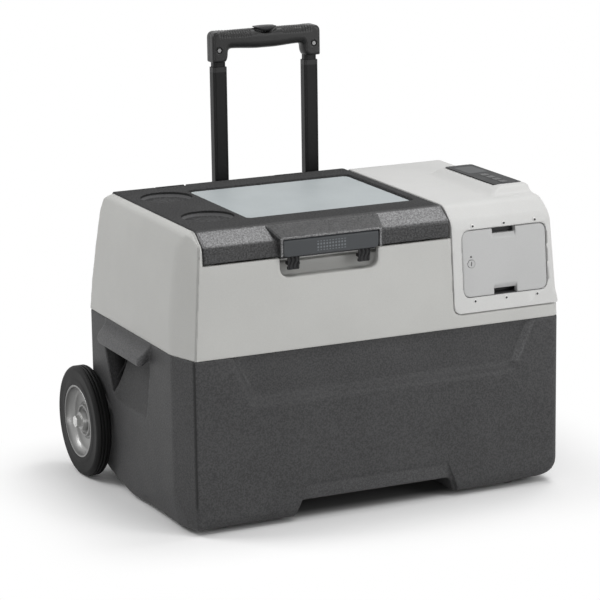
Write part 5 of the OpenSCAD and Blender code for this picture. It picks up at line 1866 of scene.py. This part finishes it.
@dataclass
class TrolleyHandle(Assembly):
    """Telescopic handle: three stages of flat tubes, the grip and its release button."""

    grip: Box = Box(Box.of("grip_front").lo, Box.of("grip_back").hi)
    inner_half: float = 66.0
    underside: float = 667.5
    belly: float = 2.7
    screw: Pair = (84.0, 667.0)
    button: Box = Box.of("release_button")
    press: float = 4.0
    button_reach: Pair = (24.0, 686.0)
    lens: Pair = (19.5, 31.0)
    crown_r: float = 220.0
    leg: float = 3.0
    far: float = 800.0
    ridge_pitch: float = 4.4
    corner_r: float = 3.0
    wall: float = 1.5
    groove: Pair = (1.0, 0.5)

    def build(self) -> None:
        """Makes the tubes, grip and button, and dresses the rest."""
        for node, body, finish in (
            ("outer_tubes", "root", TUBE_BLACK),
            ("middle_tubes", "handle_middle", TUBE_BLACK),
            ("middle_collars", "handle_middle", COLLAR_BLACK),
            ("inner_tubes", "handle_top", TUBE_BLACK),
        ):
            self.put(self.tubes(node), finish, body, node)
        y = self.grip.mid(Axis.Y)
        for name, way in (("grip_front", 1.0), ("grip_back", -1.0)):
            half = self.grip_form().meet(Form.half((0.0, y, 0.0), (0.0, way, 0.0)), 0.4)
            box = Box.of(name).deeper(self.leg)
            self.mould(f"{name}_half", half, box, 1.5, GRIP_BLACK, "handle_top", name)
        wide, low = self.button_reach
        top = Box((-wide, self.grip.lo[1], low), (wide, y + 7.0, self.button.hi[2]))
        self.mould(
            "release_push_button", self.button_form(0.0), top, 0.8, BLACK_PLASTIC, "release",
            "release_button",
        )
        self.dress(DARK_STEEL, "grip_screws", edge=0.3)
        self.dress(STEEL, "release_rods", edge=0.3)
        self.dress(BLACK_PLASTIC, "upper_tube_bracket", "lower_tube_bracket", edge=1.0)

    def tubes(self, node: str) -> bpy.types.Mesh:
        """A pair of hollow flat tubes with a fine groove along each edge of front and back.

        Args:
            node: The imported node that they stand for.

        Returns:
            Their mesh.
        """
        box = Box.of(node)
        wide = 2.0 * (box.hi[0] - TUBE_X)
        deep = box.hi[1] - box.lo[1]
        outer, inner = self.tube_section(wide, deep)
        count = len(outer)
        points, faces = [], []
        for x in (-TUBE_X, TUBE_X):
            first = len(points)
            for ring in (outer, inner):
                for z in (box.lo[2], box.hi[2]):
                    points += [Vector((x + a, box.mid(Axis.Y) + b, z)) for a, b in ring]
            for k in range(count):
                a, b = first + k, first + (k + 1) % count
                low, high, low_in, high_in = ((a + n * count, b + n * count) for n in range(4))
                faces += [(*low, *high[::-1]), (*low_in[::-1], *high_in), (*high, *high_in[::-1]),
                          (*low[::-1], *low_in)]
        return self.drawn(f"{node}_drawn", points, faces)

    def tube_section(self, wide: float, deep: float) -> tuple[list[Pair], list[Pair]]:
        """Section of a tube.

        Args:
            wide: Width across the box.
            deep: Depth from front to back.

        Returns:
            The outer and the inner outline, point for point.
        """
        outer, inner = [], []
        hw, hd, r, t = wide / 2, deep / 2, self.corner_r, self.wall
        width, cut = self.groove

        def add(x: float, y: float, flat_y: float) -> None:
            """Adds a point to both outlines; the inner one has no groove."""
            outer.append((x, y))
            inner.append((x * (hw - t) / hw, flat_y * (hd - t) / hd))

        for k, (sx, sy) in enumerate(((1, -1), (1, 1), (-1, 1), (-1, -1))):
            for a in range(0, 91, 18):
                angle = math.radians(a + 90.0 * (k - 1))
                x = sx * (hw - r) + r * math.cos(angle)
                y = sy * (hd - r) + r * math.sin(angle)
                add(x, y, y)
            if k in (1, 3):
                for end in (1.0, -1.0) if k == 1 else (-1.0, 1.0):
                    near, far = hw - r - 0.6, hw - r - 0.6 - width
                    first, last = (near, far) if end * sx > 0 else (far, near)
                    for x, d in ((first, 0.0), (first, cut), (last, cut), (last, 0.0)):
                        add(end * x, sy * (hd - d), sy * hd)
        return outer, inner

    def grip_form(self) -> Form:
        """The grip with its two legs, finger ridges, button slot and screw seats.

        Returns:
            Its solid.
        """
        (x0, y0, z0), (x1, y1, z1) = self.grip.lo, self.grip.hi
        x0, x1, z1 = x0 + 2.0, x1 - 1.0, z1 - 1.5
        corners = [(x0, self.far), (x0, z0 - self.leg), (x1, z0 - self.leg), (x1, self.far)]
        front = Form.prism(Axis.Y, corners, [0.0, 1.5, 1.5, 0.0])
        crown = Form(lambda x, y, z: z - z1 + 1.5 * (x / x1) ** 4)
        soft = Form(lambda x, y, z: 3.0 + 5.0 * ease(np.abs(x), 80.0, 62.0))
        grip = front.meet(crown, 6.0).meet(Form.slab(Axis.Y, y0, y1), soft)
        belly = Form(lambda x, y, z: z - self.underside + self.belly * ease(np.abs(x), 62.0, 10.0))
        hand = Form.slab(Axis.X, -self.inner_half, self.inner_half).meet(belly, 5.0)
        grip = grip.cut(hand, soft)
        ridged = Form(lambda x, y, z: grip(x, y, z) + self.ridges(x, z))
        seat = Form.rod(Axis.Y, self.screw, 5.0).both_sides()
        seat = seat.meet(Form.before(Axis.Y, y0 + 2.0))
        return ridged.cut(self.button_form(0.5), 0.4).cut(seat, 0.6)

    def ridges(self, x: Array, z: Array) -> Array:
        """Depth of the finger ridges along the grip's upper edges."""
        along = ease(np.abs(x), 26.0, 30.0) * ease(np.abs(x), 84.0, 80.0)
        return 0.3 * along * ease(z, 684.0, 690.0) * (
            1.0 - np.cos(x * 2.0 * math.pi / self.ridge_pitch)
        )

    def button_form(self, grow: float) -> Form:
        """Release button, a lens across the grip's front upper edge.

        Args:
            grow: Added all round, for the slot that it sits in.

        Returns:
            Its solid.
        """
        top, y = self.button.hi[2], self.grip.mid(Axis.Y)
        y0 = self.grip.lo[1] + 0.6
        up, r = self.lens
        lens = Form.rod(Axis.Y, (0.0, top + up + (0.0 if grow else self.press)), r + grow)
        crown = Form.rod(Axis.Y, (0.0, top - self.crown_r), self.crown_r + grow * 40.0)
        deep = Form.slab(Axis.Y, y0 - grow * 20.0, y + 6.0 + grow)
        return lens.meet(crown, 0.8).meet(deep, 2.0 if grow == 0.0 else 0.0)


@dataclass
class Studio:
    """White floor and backdrop, soft lamps, and the camera."""

    camera_at: Triple = (-1.8678, -3.99748, 1.3513)
    yaw: float = 0.4332
    pitch: float = 0.2373
    roll: float = -0.0141
    lens: float = 169.76
    ambient: float = 0.33
    clear_of_shadow: Pair = (0.02, 0.24)
    footprint: Pair = (320.0, 200.0)
    floor_half: float = 30.0
    painted_shadow_edge: Pair = (0.0, -60.0)
    sensor: float = 36.0

    def build(self) -> None:
        """Makes the whole studio."""
        self.camera()
        self.world()
        self.floor()
        self.lamp("overhead", (0.88, 0.05, 2.45), (0.0, -0.05, 0.4), (0.9, 0.9), 15.0)
        self.lamp("over_front", (0.3, -1.3, 2.2), (0.0, -0.1, 0.3), (0.9, 0.9), 12.0)
        self.lamp("front_right", (1.7, -2.2, 0.9), (0.0, 0.0, 0.25), (1.2, 1.2), 21.0)
        self.lamp("left_back", (-1.7, 0.8, 1.7), (0.0, 0.0, 0.25), (1.0, 1.0), 18.0)
        self.lamp("front_left", (-1.5, -2.8, 0.6), (0.0, 0.0, 0.25), (0.6, 0.6), 9.5)
        bpy.context.scene.view_settings.view_transform = "Standard"

    def camera(self) -> None:
        """Puts the camera where the photograph was taken from."""
        cy, sy, cp, sp = (f(a) for a in (self.yaw, self.pitch) for f in (math.cos, math.sin))
        ahead = Vector((sy * cp, cy * cp, -sp))
        side = Vector((cy, -sy, 0.0))
        up = side.cross(ahead)
        c, s = math.cos(self.roll), math.sin(self.roll)
        columns = (c * side + s * up, -s * side + c * up, -ahead)
        lens = bpy.data.cameras.new("camera")
        lens.lens, lens.sensor_width = self.lens, self.sensor
        eye = bpy.data.objects.new("camera", lens)
        turned = Matrix(columns).transposed().to_4x4()
        eye.matrix_world = Matrix.Translation(self.camera_at) @ turned
        bpy.context.scene.collection.objects.link(eye)
        bpy.context.scene.camera = eye

    @staticmethod
    def seen(shade: Shade) -> Wire:
        """Tells rays that show something from those that only light it.

        Args:
            shade: The tree to add to.

        Returns:
            1 for what the camera sees directly, in gloss or through glass.
        """
        path = shade.node("LightPath").socket.node.outputs
        camera, gloss, glass = (
            Wire(shade, path[f"Is {ray} Ray"]) for ray in ("Camera", "Glossy", "Transmission")
        )
        return (camera + gloss + glass) > 0.5

    def world(self) -> None:
        """Even light from all round, white where it is seen."""
        world = bpy.data.worlds.new("soft_room")
        world.use_nodes = True
        shade = Shade.__new__(Shade)
        shade.tree = world.node_tree
        shade.tree.nodes.clear()
        strength = self.seen(shade) * (1.0 - self.ambient) + self.ambient
        light = shade.node("Background", Color=(1.0, 1.0, 1.0), Strength=strength)
        output = shade.tree.nodes.new("ShaderNodeOutputWorld")
        shade.tree.links.new(light.socket, output.inputs["Surface"])
        bpy.context.scene.world = world

    def floor(self) -> None:
        """Pale floor that keeps the shadow, with a painted shadow: a darker cloth under the box."""
        low, half = CAD_BOX[0][2], self.floor_half
        corners = [(-half, -half, low), (half, -half, low), (half, half, low), (-half, half, low)]
        mesh = bpy.data.meshes.new("studio_floor")
        mesh.from_pydata(corners, [], [(0, 1, 2, 3)])
        piece = bpy.data.objects.new("studio_floor", mesh)
        bpy.context.scene.collection.objects.link(piece)
        shade = Shade("studio_floor")
        seen = self.seen(shade)
        # The darkest cloth is a painted shadow, laid under the box's footprint.
        cloth, more, painted_shade = (shade.node("BsdfDiffuse", Color=(c, c, c)) for c in (0.8, 0.3, 0.15))
        paper = shade.node("AddShader", in0=cloth, in1=more)
        white = shade.node("Emission", Color=(1.0, 1.0, 1.0), Strength=1.0)
        x, y, _ = shade.axes()
        across, along = (abs(at) - half for at, half in zip((x, y), self.footprint))
        away = across.least(0.0).length(along.least(0.0)) * MM
        under = along.rise(*self.painted_shadow_edge) * across.rise(*self.painted_shadow_edge)
        painted_shadow_mix = shade.node("MixShader", in0=under, in1=paper, in2=painted_shade)
        lit = shade.node("MixShader", in0=away.rise(*self.clear_of_shadow), in1=painted_shadow_mix, in2=white)
        mesh.materials.append(shade.close(shade.node("MixShader", in0=seen, in1=cloth, in2=lit)))

    def lamp(self, name: str, at: Triple, towards: Triple, size: Pair, power: float) -> None:
        """Adds a soft rectangular lamp.

        Args:
            name: Name of the lamp.
            at: Where it is, in metres.
            towards: What it points at.
            size: Its width and height.
            power: Its power in watts.
        """
        light = bpy.data.lights.new(name, "AREA")
        light.shape = "RECTANGLE"
        light.size, light.size_y = size
        light.energy = power
        lamp = bpy.data.objects.new(name, light)
        lamp.location = at
        lamp.rotation_euler = (Vector(towards) - Vector(at)).to_track_quat("-Z", "Y").to_euler()
        bpy.context.scene.collection.objects.link(lamp)


def main() -> None:
    """Builds every sub-assembly, then the studio."""
    logging.basicConfig(level=logging.INFO, format="%(name)s: %(message)s")
    for part in (
        LowerBody, UpperBody, CompressorModule, Battery, Lid, Latch, Wheels, TrolleyHandle, Studio,
    ):
        part().build()


if __name__ == "__main__":
    main()
